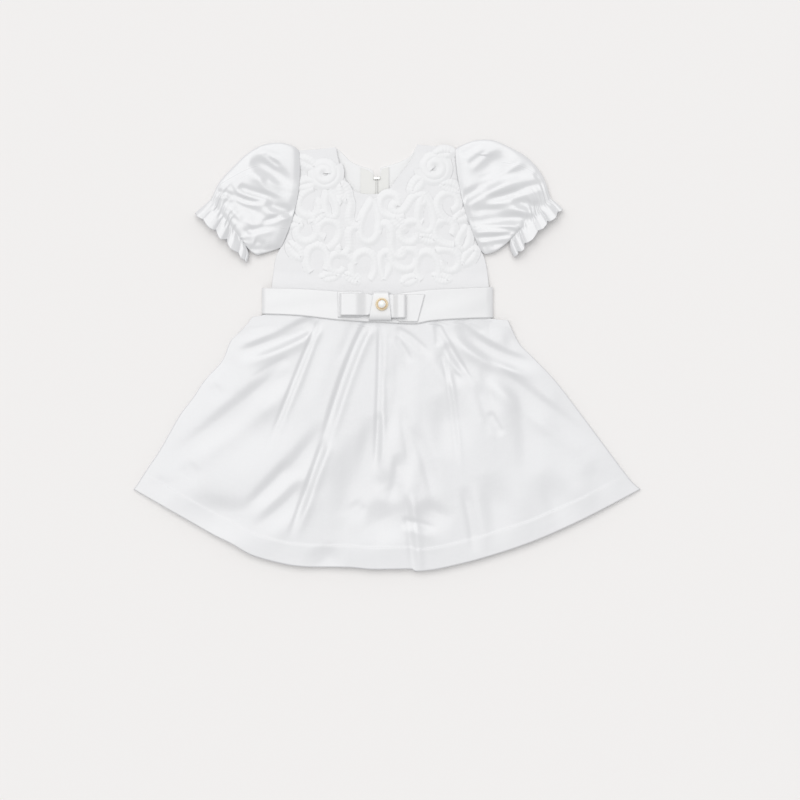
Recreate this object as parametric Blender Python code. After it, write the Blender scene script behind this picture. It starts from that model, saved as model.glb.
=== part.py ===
"""Formal baby dress of white satin, laid flat on its back.

A bodice with ribbon work, short puff sleeves, a sash with a box bow and a pearl button, and a flared,
pleated skirt. +X is the viewer's right, +Y runs up to the neck and +Z is up from the floor. The script
works in millimetres and turns them into metres when it makes a mesh.
"""

import math
from collections import namedtuple

import bmesh
import bpy
import numpy as np

MM = 0.001

# Driving sizes, in millimetres
CLOTH = 1.4  # thickness of a cloth wall
RIBBON = 1.2  # thickness of the bow's folded ribbon
SEAM = 0.3  # gap between pieces that meet
WAIST_Y = 54.5  # height of the waist seam on the laid dress
EASE = 0.3  # extra space that keeps bent layers clear of each other
SHOULDER_PUFF = 1.7  # space between front and back at the neck and shoulders
BODICE_PUFF = 3.4  # the same over the middle of the bodice
WAIST_PUFF = 3.0  # the same under the sash
SKIRT_PUFF = 4.6  # the same over the skirt, between its folds
GENTLE = 2.2  # how much wider than its steep side a fold's gentle side is
CROWN = 3.0  # how square the top of a sleeve's section is, where 2 is an ellipse
FRILL_LOBES = 5.5  # waves of the cuff's frill from edge to edge
RELIEF = 1.5  # height of the ribbon work above the bodice
RELIEF_REACH = 4.8  # half width of a raised ribbon
ROSE_CROWN = 1.8  # extra height in the middle of a ribbon rose
ZIP_X = -11.25  # centre back line
TAPE = 1.0  # thickness of the zip's tape
LOOP_HOLLOW = 3.4  # space inside a loop of the bow
BUTTON_X, BUTTON_Y = -5.5, 55.5
PINCH_UPPER, PINCH_LOWER = 66.0, 45.0  # edges in y of the bow's ribbon where the knot holds it

# Heights of the layers at the waist, from the floor up
SASH_UNDER = 3 * (CLOTH + SEAM)
SASH_TOP = SASH_UNDER + WAIST_PUFF + CLOTH
TAIL_UNDER = SASH_TOP + SEAM
LOOP_UNDER = TAIL_UNDER + RIBBON + SEAM
KNOT_UNDER = LOOP_UNDER + 2 * (RIBBON + SEAM) + 2 * SEAM
KNOT_TOP = KNOT_UNDER + CLOTH

# Outlines, seen from above. A row is one point, from the waist down or from left to right.
SKIRT_LEFT = (
    (-131.0, 54.4), (-131.8, 49.0), (-133.4, 44.6), (-148.0, 42.0), (-152.0, 36.0), (-161.5, 26.0),
    (-171.5, 16.0), (-178.0, 0.5), (-182.5, -8.0), (-200.0, -27.0), (-213.5, -47.0), (-227.5, -65.5),
    (-249.5, -104.0), (-263.0, -124.0), (-275.0, -142.5), (-278.5, -147.0),
)
SKIRT_RIGHT = (
    (112.0, 54.4), (112.4, 47.0), (113.2, 40.6), (118.0, 39.5), (133.0, 38.6), (137.5, 28.0),
    (146.5, 11.5), (157.5, 0.5), (169.5, -11.5), (185.0, -28.0), (201.5, -49.0), (218.0, -71.0),
    (234.5, -93.0), (257.5, -124.0), (269.5, -139.0), (278.5, -147.0),
)
HEM = (
    (-278.5, -147.0), (-244.0, -166.5), (-216.5, -182.0), (-189.0, -197.5), (-170.5, -206.5),
    (-150.5, -218.0), (-128.5, -225.0), (-106.5, -230.0), (-84.5, -232.0), (-40.5, -232.5),
    (-18.5, -234.5), (3.5, -234.5), (27.5, -234.0), (31.0, -237.0), (47.5, -235.5), (64.0, -232.5),
    (102.5, -223.0), (157.5, -205.0), (212.5, -181.0), (278.5, -147.0),
)
HEM_STEP = (12, 13)  # rows of HEM where a lapped fold steps down

# Edge of the bodice from the shoulder to the waist: the armhole is a bowed line, then the side seam.
Armhole = namedtuple("Armhole", "shoulder underarm bow")
ARMHOLE_LEFT = Armhole((-97.0, 225.0), (-116.5, 118.5), 8.0)
ARMHOLE_RIGHT = Armhole((75.0, 227.0), (102.5, 116.0), -6.0)
SIDE_LEFT = ((-121.5, 109.5), (-124.5, 94.0), (-126.5, 74.0), (-127.5, WAIST_Y))
SIDE_RIGHT = ((106.5, 108.5), (110.0, 94.0), (112.0, 74.0), (113.5, WAIST_Y))

# Columns of a bodice panel: the point at the shoulder or neck, and the x where it meets the waist.
Column = namedtuple("Column", "top_x top_y waist_x")
FRONT_COLUMNS = [Column(*row) for row in (
    (-97.0, 225.0, -127.5), (-76.0, 226.5, -103.5), (-56.0, 228.5, -78.0), (-54.0, 217.5, -67.0),
    (-50.5, 204.0, -58.5), (-44.0, 190.0, -46.0), (-37.5, 182.0, -36.5), (-28.5, 178.0, -27.5),
    (-15.5, 177.0, -14.5), (-2.0, 179.0, -2.0), (5.5, 186.5, 7.5), (14.5, 198.5, 17.5),
    (23.0, 209.5, 27.5), (29.5, 220.5, 38.5), (33.0, 231.5, 50.5), (54.0, 229.5, 80.5),
    (75.0, 227.0, 113.5),
)]
FRONT_CORNERS = (2, 14)
BACK_LEFT_COLUMNS = [Column(*row) for row in (
    (-97.0, 225.0, -127.5), (-76.0, 226.5, -103.5), (-56.0, 228.0, -73.5), (-50.5, 224.0, -65.0),
    (-40.5, 214.0, -49.5), (-29.5, 208.5, -35.0), (-18.5, 205.0, -22.0), (-15.0, 202.0, -17.5),
    (-14.5, 196.5, -14.5), (ZIP_X - SEAM / 2, 194.0, ZIP_X - SEAM / 2),
)]
BACK_LEFT_CORNERS = (2, 8)
BACK_RIGHT_COLUMNS = [Column(*row) for row in (
    (ZIP_X + SEAM / 2, 194.0, ZIP_X + SEAM / 2), (-7.5, 196.5, -7.5), (-7.5, 206.5, -3.5),
    (3.5, 209.5, 7.5), (14.5, 213.0, 18.5), (25.5, 219.5, 32.0), (33.0, 231.0, 47.5),
    (54.0, 229.5, 80.5), (75.0, 227.0, 113.5),
)]
BACK_RIGHT_CORNERS = (1, 2, 6)
TAPE_LEFT_COLUMNS = [Column(*row) for row in (
    (-29.0, 206.5, -29.0), (-22.0, 204.0, -23.0), (-16.5, 200.5, -17.0), (ZIP_X - 1, 192.5, ZIP_X - 1),
)]
TAPE_RIGHT_COLUMNS = [Column(*row) for row in (
    (ZIP_X + 1, 192.5, ZIP_X + 1), (-6.8, 195.5, -6.8), (-6.4, 205.0, -5.0), (2.0, 207.0, 2.0),
)]

# The sash: where its upper and lower edges lie along x.
Edge = namedtuple("Edge", "x upper lower")
SASH = [Edge(*row) for row in (
    (-137.5, 74.0, 45.5), (-95.5, 73.0, 43.5), (-51.5, 70.0, 38.5), (-7.5, 66.5, 36.0),
    (31.0, 70.0, 34.5), (47.5, 72.0, 37.5), (80.5, 73.5, 40.0), (116.5, 75.0, 41.2),
)]

# Folds of the skirt's front: a curved valley through three points, its half width and depth, and the
# height of the ridge beside it. side is 1 where the ridge lies to the right of the way down, else -1.
Fold = namedtuple("Fold", "name x0 y0 x1 y1 x2 y2 width depth lift side")
FOLDS = [Fold(*row) for row in (
    ("pleat main", -18, 43, -45, -14, -77, -117, 5.0, 3.0, 1.3, 1),
    ("pleat main low", -68, -89, -85, -137, -109, -204, 5.0, 2.4, 1.1, 1),
    ("pleat left", -73, 43, -96, -12, -135, -111, 5.0, 1.4, 0.7, 1),
    ("pleat centre", -8, 41, -10, -43, -14, -130, 5.0, 0.8, 0.4, 1),
    ("centre soft", 10, 17, 12, -38, 1, -100, 6.8, 1.1, 0.5, 1),
    ("centre dark", 10, -106, 10, -135, -1, -172, 5.9, 2.2, 1.0, 1),
    ("shelf left", -78, 42, -119, 19, -170, 2, 6.8, 5.5, 2.5, 1),
    ("sweep left", -107, -5, -166, -58, -258, -124, 7.6, 3.7, 1.7, 1),
    ("wide left", -144, -40, -166, -80, -199, -137, 22.0, 4.6, 2.1, 1),
    ("dent left", -176, 4, -176, -20, -176, -51, 6.8, 1.4, 0.6, 1),
    ("inner left", -67, -71, -100, -117, -170, -185, 8.5, 2.4, 1.1, 1),
    ("left second", -89, -135, -112, -163, -155, -196, 6.8, 2.5, 1.1, 1),
    ("left low", -217, -152, -182, -172, -131, -166, 12.7, 3.6, 1.6, -1),
    ("pleat right", 52, 43, 72, 6, 98, -36, 5.0, 0.9, 0.4, -1),
    ("patch right", 56, -40, 65, -75, 62, -117, 13.5, 2.8, 1.3, 1),
    ("shelf right", 76, 37, 121, 4, 176, -9, 7.6, 6.2, 2.8, -1),
    ("notch right", 136, 43, 138, 24, 138, 2, 6.8, 4.3, 0.0, 1),
    ("sweep right", 96, 6, 168, -51, 263, -117, 6.3, 4.1, 1.8, -1),
    ("hollow right", 140, -14, 151, -69, 153, -144, 10.2, 3.8, 1.7, 1),
    ("wide right", 168, -49, 186, -89, 197, -137, 20.3, 3.3, 1.5, 1),
    ("column left", -38, -82, -38, -148, -51, -216, 15.2, 4.3, 1.9, 1),
    ("column inner", -16, -64, -23, -106, -38, -159, 9.3, 2.6, 1.2, 1),
    ("column right", -21, -159, -6, -183, 3, -212, 15.2, 4.3, 1.9, 1),
    ("hem crease wide", 34, -161, 52, -173, 76, -182, 9.3, 2.6, 1.2, -1),
    ("hem lap", 19, -150, 24, -192, 29, -247, 5.0, 0.8, 1.2, 1),
    ("right low one", 107, -126, 118, -166, 122, -212, 10.2, 2.1, 1.0, 1),
    ("right low two", 166, -126, 184, -161, 197, -196, 10.2, 2.1, 1.0, 1),
)]

# Ribbon work on the bodice: a motif, its middle, its half height, its turn in degrees and its hand.
Motif = namedtuple("Motif", "kind x y size turn hand")
MOTIFS = [Motif(*row) for row in (
    ("rose", -67, 198, 14, 0, 1), ("rose", 52, 204, 15, 40, -1), ("leaf", -87, 211, 9, 60, 1),
    ("leaf", -88, 188, 10, 100, 1), ("leaf", -47, 178, 9, 20, 1), ("leaf", 33, 187, 9, -35, -1),
    ("leaf", 70, 184, 10, 70, -1), ("leaf", 62, 222, 8, 95, 1), ("curl", -86, 166, 14, 200, 1),
    ("drop", -62, 166, 15, 10, 1), ("scroll", -41, 158, 15, 80, 1), ("drop", -18, 148, 24, -8, 1),
    ("curl", 4, 163, 14, 20, -1), ("scroll", 24, 166, 15, 60, -1), ("drop", 42, 156, 21, 6, -1),
    ("curl", 65, 164, 14, -30, -1), ("leaf", 84, 154, 10, 120, -1), ("leaf", -104, 146, 9, 80, 1),
    ("curl", -86, 138, 14, 150, -1), ("curl", -62, 134, 14, 30, 1), ("leaf", -75, 152, 8, 130, 1),
    ("scroll", -41, 126, 14, 95, -1), ("leaf", 13, 145, 8, 40, 1), ("scroll", 5, 126, 17, 85, 1),
    ("curl", 25, 136, 13, 160, 1), ("leaf", 45, 128, 8, 75, 1), ("curl", 63, 134, 14, 0, -1),
    ("drop", 85, 130, 13, -15, 1), ("leaf", -100, 114, 9, 40, 1), ("arch", -76, 106, 14, 5, 1),
    ("curl", -51, 102, 13, 120, 1), ("arch", -25, 98, 15, -6, 1), ("leaf", -38, 84, 8, 60, 1),
    ("drop", -2, 98, 15, 175, 1), ("curl", 20, 104, 14, -60, 1), ("arch", 44, 98, 15, 8, -1),
    ("leaf", 25, 82, 8, 110, -1), ("curl", 68, 105, 13, 200, -1), ("leaf", 90, 108, 10, 140, -1),
    ("leaf", -62, 86, 8, 100, 1), ("leaf", 60, 84, 8, 75, -1),
)]

# Sleeves, a row for each line across from the shoulder fold to the underarm fold: its two ends, how far
# its middle bows out, the height of the puff, the depth of the gathers and the waves of the frill.
Station = namedtuple("Station", "top_x top_y low_x low_y bow height gather wave")
SLEEVE_LEFT = [Station(*row) for row in (
    (-97.6, 225.0, -117.2, 118.3, 8.0, 4.8, 0.0, 0.0),
    (-103.0, 230.0, -124.6, 115.0, 7.0, 7.6, 0.0, 0.0),
    (-116.5, 233.5, -131.0, 113.0, 4.0, 10.6, 0.3, 0.0),
    (-134.5, 231.5, -136.5, 111.5, 1.0, 12.8, 0.4, 0.0),
    (-152.5, 222.0, -142.0, 110.0, -3.0, 13.6, 0.5, 0.0),
    (-169.0, 206.5, -146.0, 111.5, -4.0, 13.4, 0.6, 0.0),
    (-184.0, 190.0, -150.5, 115.0, -3.0, 12.2, 0.9, 0.0),
    (-193.5, 171.0, -154.0, 119.0, 0.0, 8.6, 1.0, 0.0),
    (-202.0, 163.5, -151.5, 110.5, 0.0, 9.4, 1.4, 0.8),
    (-211.0, 156.0, -153.5, 101.5, 2.0, 10.6, 1.8, 1.8),
)]
SLEEVE_RIGHT = [Station(*row) for row in (
    (75.6, 227.0, 103.2, 115.8, -6.0, 4.8, 0.0, 0.0),
    (84.5, 232.0, 107.5, 111.0, -5.0, 7.6, 0.0, 0.0),
    (99.0, 236.3, 112.5, 111.5, -3.0, 10.6, 0.3, 0.0),
    (117.0, 236.0, 118.0, 113.5, 0.0, 12.8, 0.4, 0.0),
    (136.5, 227.5, 122.5, 116.0, 4.0, 13.6, 0.5, 0.0),
    (154.5, 216.5, 126.5, 119.0, 6.0, 13.4, 0.6, 0.0),
    (170.5, 197.5, 131.0, 122.5, 4.0, 12.2, 0.9, 0.0),
    (180.0, 172.0, 134.5, 126.0, 0.0, 8.6, 1.0, 0.0),
    (186.5, 167.0, 135.0, 117.5, 0.0, 9.4, 1.4, 0.8),
    (193.0, 160.5, 139.5, 107.5, -2.0, 10.6, 1.8, 1.8),
)]

# The largest folds of the sleeves, as in FOLDS. They run from the cuff or the cap to the armhole.
FOLDS_LEFT = [Fold(*row) for row in (
    ("hollow below cap", -152, 214, -128, 203, -96, 178, 7.6, 6.2, 2.8, -1),
    ("middle long", -163, 186, -143, 178, -97, 168, 4.0, 1.9, 0.8, -1),
    ("cuff two", -183, 171, -156, 163, -128, 146, 5.1, 2.5, 1.1, -1),
    ("armhole wedge", -134, 169, -117, 162, -96, 154, 5.1, 3.3, 1.5, -1),
    ("armhole crease", -100, 145, -108, 130, -119, 116, 4.0, 1.3, 0.6, 1),
)]
FOLDS_RIGHT = [Fold(*row) for row in (
    ("hollow below cap", 118, 228, 115, 207, 80, 188, 11.0, 7.1, 3.2, 1),
    ("upper band", 93, 177, 123, 194, 165, 205, 5.9, 3.8, 1.7, -1),
    ("middle", 104, 171, 132, 176, 153, 184, 4.2, 2.1, 0.9, -1),
    ("cuff dark", 136, 171, 155, 165, 178, 160, 5.1, 3.3, 1.5, -1),
    ("soft", 91, 157, 112, 159, 136, 160, 5.1, 1.9, 0.9, -1),
    ("darkest", 86, 144, 126, 150, 170, 149, 5.5, 4.5, 2.0, -1),
    ("low wedge", 109, 121, 123, 121, 137, 121, 5.9, 2.9, 1.3, -1),
)]


def ramp(value, low, high):
    """0 below low, 1 above high and smooth between."""
    t = np.clip((np.asarray(value, float) - low) / (high - low), 0.0, 1.0)
    return t * t * (3.0 - 2.0 * t)


def smooth_curve(knots, points, at, corners=()):
    """Points at the parameters at, on a smooth curve through the rows that turns sharply at each corner."""
    knots, points, at = (np.asarray(a, float) for a in (knots, points, at))
    step = np.diff(knots)[:, None]
    slope = np.diff(points, axis=0) / step
    arriving = np.vstack([slope[:1], slope])
    leaving = np.vstack([slope, slope[-1:]])
    for i in range(1, len(knots) - 1):
        if i not in corners:
            both = (points[i + 1] - points[i - 1]) / (knots[i + 1] - knots[i - 1])
            arriving[i] = leaving[i] = both
    span = np.clip(np.searchsorted(knots, at, side="right") - 1, 0, len(step) - 1)
    h = step[span]
    t = (at - knots[span])[:, None] / h
    return (
        (2 * t**3 - 3 * t**2 + 1) * points[span]
        + (t**3 - 2 * t**2 + t) * h * leaving[span]
        + (3 * t**2 - 2 * t**3) * points[span + 1]
        + (t**3 - t**2) * h * arriving[span + 1]
    )


def shares(values):
    """The values as shares of the way from the first to the last."""
    values = np.asarray(values, float)
    return (values - values[0]) / (values[-1] - values[0])


def patch(u, v, top, low, left, right):
    """Plan points between four edge curves: rows run from top to low, columns from left to right."""
    u, v = u[None, :, None], v[:, None, None]
    left, right = left[:, None, :], right[:, None, :]
    across = (1 - v) * top[None] + v * low[None]
    return (
        across
        + (1 - u) * (left - (1 - v) * left[:1] - v * left[-1:])
        + u * (right - (1 - v) * right[:1] - v * right[-1:])
    )


def raised(plan, z):
    """Plan points with a height, in one array."""
    return np.dstack([plan, np.broadcast_to(z, plan.shape[:2])])


def make_finish(name, colour, roughness, metallic=0.0, sheen=0.0):
    material = bpy.data.materials.new(name)
    material.use_nodes = True
    shader = material.node_tree.nodes["Principled BSDF"]
    shader.inputs["Base Color"].default_value = (*colour, 1.0)
    shader.inputs["Roughness"].default_value = roughness
    shader.inputs["Metallic"].default_value = metallic
    shader.inputs["Sheen Weight"].default_value = sheen
    material.diffuse_color = (*colour, 1.0)
    return material


def make_object(name, bm, finish):
    """Turns the millimetre mesh into a smooth-shaded object in metres, its faces outwards."""
    bmesh.ops.recalc_face_normals(bm, faces=bm.faces)
    bmesh.ops.scale(bm, vec=(MM, MM, MM), verts=bm.verts)
    mesh = bpy.data.meshes.new(name)
    bm.to_mesh(mesh)
    bm.free()
    mesh.shade_smooth()
    mesh.set_sharp_from_angle(angle=math.radians(50))
    mesh.materials.append(finish)
    obj = bpy.data.objects.new(name, mesh)
    bpy.context.scene.collection.objects.link(obj)
    return obj


def add_grid(bm, points):
    """Faces over an array of points; returns its vertices as rows."""
    rows = [[bm.verts.new(p) for p in row] for row in points]
    for upper, lower in zip(rows, rows[1:]):
        for i in range(len(upper) - 1):
            bm.faces.new((upper[i], upper[i + 1], lower[i + 1], lower[i]))
    return rows


def rim(rows):
    """The border vertices of a grid, each with its place along the four sides."""
    last, end = len(rows) - 1, len(rows[0]) - 1
    loop = [(j / end, rows[0][j]) for j in range(end)]
    loop += [(1 + i / last, rows[i][end]) for i in range(last)]
    loop += [(2 + j / end, rows[last][end - j]) for j in range(end)]
    loop += [(3 + i / last, rows[last - i][0]) for i in range(last)]
    return loop + [(4.0, rows[0][0])]


def wall(name, outer, inner, finish):
    """A closed wall between an outer and an inner grid, which may have fewer rows and columns."""
    bm = bmesh.new()
    a, b = rim(add_grid(bm, outer)), rim(add_grid(bm, inner))
    i = j = 0
    while i < len(a) - 1 or j < len(b) - 1:
        if j == len(b) - 1 or (i < len(a) - 1 and a[i + 1][0] <= b[j + 1][0] + 1e-9):
            bm.faces.new((a[i][1], a[i + 1][1], b[j][1]))
            i += 1
        else:
            bm.faces.new((a[i][1], b[j + 1][1], b[j][1]))
            j += 1
    return make_object(name, bm, finish)


def tube(name, outer, inner, finish):
    """A wall closed round on itself and open at both ends, from two arrays of rings."""
    bm = bmesh.new()
    skins = [[[bm.verts.new(p) for p in ring] for ring in rings] for rings in (outer, inner)]
    around = len(outer[0])
    for rings in skins:
        for first, second in zip(rings, rings[1:]):
            for i in range(around):
                j = (i + 1) % around
                bm.faces.new((first[i], first[j], second[j], second[i]))
    for end in (0, -1):
        for i in range(around):
            j = (i + 1) % around
            bm.faces.new((skins[0][end][i], skins[0][end][j], skins[1][end][j], skins[1][end][i]))
    return make_object(name, bm, finish)


# How high the layers lie


def over_sash(y):
    """1 where a panel lies on the sash's back band, 0 away from it."""
    return ramp(y, 12, 33) * (1 - ramp(y, 77, 92))


def near_waist(y):
    """1 under the sash's front band, 0 where the bodice or the skirt is free."""
    return ramp(y, 16, 33) * (1 - ramp(y, 77, 94))


def back_under(y):
    return (CLOTH + SEAM) * over_sash(y)


def front_floor(y):
    """The lowest that the underside of a front panel may lie."""
    return back_under(y) + CLOTH + SEAM


def waist_puff(x):
    """The space inside the dress under the sash."""
    middle, half_width = -7.5, 120.0
    return WAIST_PUFF * (1 - np.clip((np.asarray(x) - middle) / half_width, -1, 1) ** 4)


def fold_height(x, y, fold):
    """What one fold adds: a valley, with a ridge beside it, both fading at the ends of the fold."""
    t = np.linspace(0, 1, 31)
    ends = np.array([(fold.x0, fold.y0), (fold.x2, fold.y2)], float)
    bend = 2 * np.array([fold.x1, fold.y1]) - ends.mean(axis=0)
    share = t[:, None]
    line = (1 - share) ** 2 * ends[0] + 2 * share * (1 - share) * bend + share**2 * ends[1]
    way = np.gradient(line, axis=0)
    way /= np.linalg.norm(way, axis=1)[:, None]
    off_x = x[..., None] - line[:, 0]
    off_y = y[..., None] - line[:, 1]
    nearest = np.argmin(off_x**2 + off_y**2, axis=-1)
    pick = np.expand_dims(nearest, -1)
    near_x = np.take_along_axis(off_x, pick, -1)[..., 0]
    near_y = np.take_along_axis(off_y, pick, -1)[..., 0]
    aside = (way[nearest, 0] * near_y - way[nearest, 1] * near_x) * fold.side
    fade = ramp(t, 0.0, 0.16)[nearest] * (1 - ramp(t, 0.72, 1.0)[nearest])
    reach = np.where(aside < 0, fold.width, GENTLE * fold.width)
    valley = -fold.depth * np.exp(-((aside / reach) ** 2))
    ridge = fold.lift * np.exp(-(((aside - 2.6 * fold.width) / (1.6 * fold.width)) ** 2))
    return fade * (valley + ridge * (1 - near_waist(y)))


def skirt_under(x, y, u):
    """Underside of the skirt's front at plan points whose share of the way across is u."""
    spread = 1 - np.abs(2 * u - 1) ** 6
    free = EASE + (SKIRT_PUFF - EASE) * spread
    waist = near_waist(y)
    space = free * (1 - waist) + waist_puff(x) * waist
    folds = spread * sum(fold_height(x, y, fold) for fold in FOLDS)
    # A valley can use up the space below it, but never more.
    settled = space * np.exp(np.minimum(folds, 0) / np.maximum(space, 0.01))
    return front_floor(y) + settled + np.maximum(folds, 0)


def bodice_under(x, y, u, v):
    """Underside of the bodice's front."""
    rise = SHOULDER_PUFF + (BODICE_PUFF - SHOULDER_PUFF) * ramp(v, 0.0, 0.35)
    waist = near_waist(y)
    free = rise * (1 - (2 * u - 1) ** 4)
    return front_floor(y) + EASE + free * (1 - waist) + (waist_puff(x) - EASE) * waist


# Ribbon work


def ribbon_line(kind, samples=28):
    """The middle line of a motif's ribbon, within one unit of its middle."""
    t = np.linspace(0, 1, samples)
    if kind == "rose":
        angle = 2 * math.pi * 2.4 * t
        line = np.column_stack([np.cos(angle), np.sin(angle)]) * (0.1 + 0.9 * t)[:, None]
    elif kind == "drop":
        angle = 2 * math.pi * t
        line = np.column_stack([0.55 * np.sin(angle) * np.sin(angle / 2), np.cos(angle)])
    elif kind == "leaf":
        angle = 2 * math.pi * t
        line = np.column_stack([0.42 * np.sin(angle), np.cos(angle) * np.abs(np.cos(angle)) ** 0.3])
    elif kind == "arch":
        angle = math.pi * (1.25 - 1.5 * t)
        line = np.column_stack([0.72 * np.cos(angle), np.sin(angle)])
    else:
        heading = 4.4 * (2 * t - 1) ** 2 if kind == "scroll" else 5.4 * t**1.5
        steps = np.column_stack([np.cos(heading), np.sin(heading)])
        line = np.cumsum(steps, axis=0)
    middle = (line.max(axis=0) + line.min(axis=0)) / 2
    line = line - middle
    return line / np.abs(line).max()


def placed_line(motif):
    """A motif's ribbon line at its place on the bodice."""
    line = ribbon_line(motif.kind) * (motif.size * motif.hand, motif.size)
    angle = math.radians(motif.turn)
    turn = np.array([(math.cos(angle), math.sin(angle)), (-math.sin(angle), math.cos(angle))])
    return line @ turn + (motif.x, motif.y)


def relief(x, y):
    """Height of the ribbon work above the bodice, which fades out under the sash."""
    height = np.zeros_like(x)
    for motif in MOTIFS:
        line = placed_line(motif)
        away = np.hypot(x[..., None] - line[:, 0], y[..., None] - line[:, 1]).min(axis=-1)
        ribbon = RELIEF * (1 - np.clip(away / RELIEF_REACH, 0, 1) ** 2) ** 2
        if motif.kind == "rose":
            from_middle = np.hypot(x - motif.x, y - motif.y) / motif.size
            ribbon = ribbon + ROSE_CROWN * (1 - np.clip(from_middle, 0, 1) ** 2)
        height = np.maximum(height, ribbon)
    return height * (1 - near_waist(y))


# Pieces


def armhole_point(armhole, t):
    (x0, y0), (x1, y1) = armhole.shoulder, armhole.underarm
    return np.column_stack([x0 + (x1 - x0) * t + 4 * armhole.bow * t * (1 - t), y0 + (y1 - y0) * t])


def bodice_side(armhole, side, v):
    """Edge of a bodice panel at the shares v of the way from shoulder to waist."""
    top_y = armhole.shoulder[1]
    y = top_y + (WAIST_Y - top_y) * v
    t = (top_y - y) / (top_y - armhole.underarm[1])
    seam = np.array((armhole.underarm, *side))
    below = smooth_curve(-seam[:, 1], seam, -y)
    return np.where((t < 1)[:, None], armhole_point(armhole, np.clip(t, 0, 1)), below)


def bodice_plan(columns, corners, left, right, cols, rows):
    """Plan points of a bodice panel or tape, with the shares across and down."""
    u, v = np.linspace(0, 1, cols), np.linspace(0, 1, rows)
    knots = shares([c.waist_x for c in columns])
    top = smooth_curve(knots, [(c.top_x, c.top_y) for c in columns], u, corners)
    waist_x = columns[0].waist_x + (columns[-1].waist_x - columns[0].waist_x) * u
    low = np.column_stack([waist_x, np.full(cols, WAIST_Y + SEAM / 2)])
    edges = []
    for side, line in (("left", left), ("right", right)):
        start, end = (top[0], low[0]) if side == "left" else (top[-1], low[-1])
        edges.append(start + (end - start) * v[:, None] if line is None else bodice_side(*line, v))
        edges[-1][[0, -1]] = start, end
    return u[None, :], v[:, None], patch(u, v, top, low, *edges)


def make_bodice_front(finish):
    sides = (ARMHOLE_LEFT, SIDE_LEFT), (ARMHOLE_RIGHT, SIDE_RIGHT)
    u, v, plan = bodice_plan(FRONT_COLUMNS, FRONT_CORNERS, *sides, cols=45, rows=30)
    x, y = plan[..., 0], plan[..., 1]
    outer = raised(plan, bodice_under(x, y, u, v) + CLOTH + relief(x, y))
    u, v, plan = bodice_plan(FRONT_COLUMNS, FRONT_CORNERS, *sides, cols=23, rows=16)
    inner = raised(plan, bodice_under(plan[..., 0], plan[..., 1], u, v))
    return wall("bodice_front", outer, inner, finish)


def make_flat_panel(name, plan, under, thickness, finish):
    return wall(name, raised(plan, under + thickness), raised(plan, under), finish)


def make_bodice_backs(finish):
    left, right = (ARMHOLE_LEFT, SIDE_LEFT), (ARMHOLE_RIGHT, SIDE_RIGHT)
    panels = (
        ("bodice_back_left", BACK_LEFT_COLUMNS, BACK_LEFT_CORNERS, left, None),
        ("bodice_back_right", BACK_RIGHT_COLUMNS, BACK_RIGHT_CORNERS, None, right),
    )
    for name, columns, corners, *sides in panels:
        plan = bodice_plan(columns, corners, *sides, cols=19, rows=18)[2]
        make_flat_panel(name, plan, back_under(plan[..., 1]), CLOTH, finish)


def make_zip(tape_finish, metal):
    tables = (("zip_tape_left", TAPE_LEFT_COLUMNS), ("zip_tape_right", TAPE_RIGHT_COLUMNS))
    for name, columns in tables:
        corners = range(len(columns))
        plan = bodice_plan(columns, corners, None, None, cols=7, rows=18)[2]
        make_flat_panel(name, plan, front_floor(plan[..., 1]), TAPE, tape_finish)
    width, length, thickness, bevel = 7.4, 3.2, 1.6, 0.5
    slider_y = 194.6
    bm = bmesh.new()
    bmesh.ops.create_cube(bm, size=1.0)
    bmesh.ops.scale(bm, vec=(width, length, thickness), verts=bm.verts)
    bmesh.ops.bevel(bm, geom=bm.edges[:], offset=bevel, segments=2, affect="EDGES", profile=0.5)
    seat = CLOTH + SEAM + TAPE + SEAM
    bmesh.ops.translate(bm, vec=(ZIP_X, slider_y, seat + thickness / 2), verts=bm.verts)
    make_object("zip_slider", bm, metal)


def skirt_plan(cols, rows):
    """Plan points of a skirt panel, closer together near the waist, with the share across."""
    u = np.linspace(0, 1, cols)
    shelf = np.array([0.0, 0.022, 0.0487, 0.0616, 0.0690, 0.0785, 0.1, 0.125, 0.15, 0.175])
    v = np.concatenate([shelf, np.linspace(0.2, 1, rows - len(shelf))])
    edges = []
    for table, corners in ((SKIRT_LEFT, (2, 3)), (SKIRT_RIGHT, (2, 4))):
        table = np.array(table)
        edges.append(smooth_curve(shares(-table[:, 1]), table, v, corners))
    left, right = edges
    top = left[0] + (right[0] - left[0]) * u[:, None]
    hem = np.array(HEM)
    low = smooth_curve(shares(hem[:, 0]), hem, u, HEM_STEP)
    return u[None, :], patch(u, v, top, low, left, right)


def make_skirt(finish):
    u, plan = skirt_plan(cols=51, rows=27)
    under = skirt_under(plan[..., 0], plan[..., 1], u)
    wall("skirt_front", raised(plan, under + CLOTH), raised(plan, under), finish)
    u, plan = skirt_plan(cols=31, rows=18)
    make_flat_panel("skirt_back", plan, back_under(plan[..., 1]), CLOTH, finish)


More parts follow.
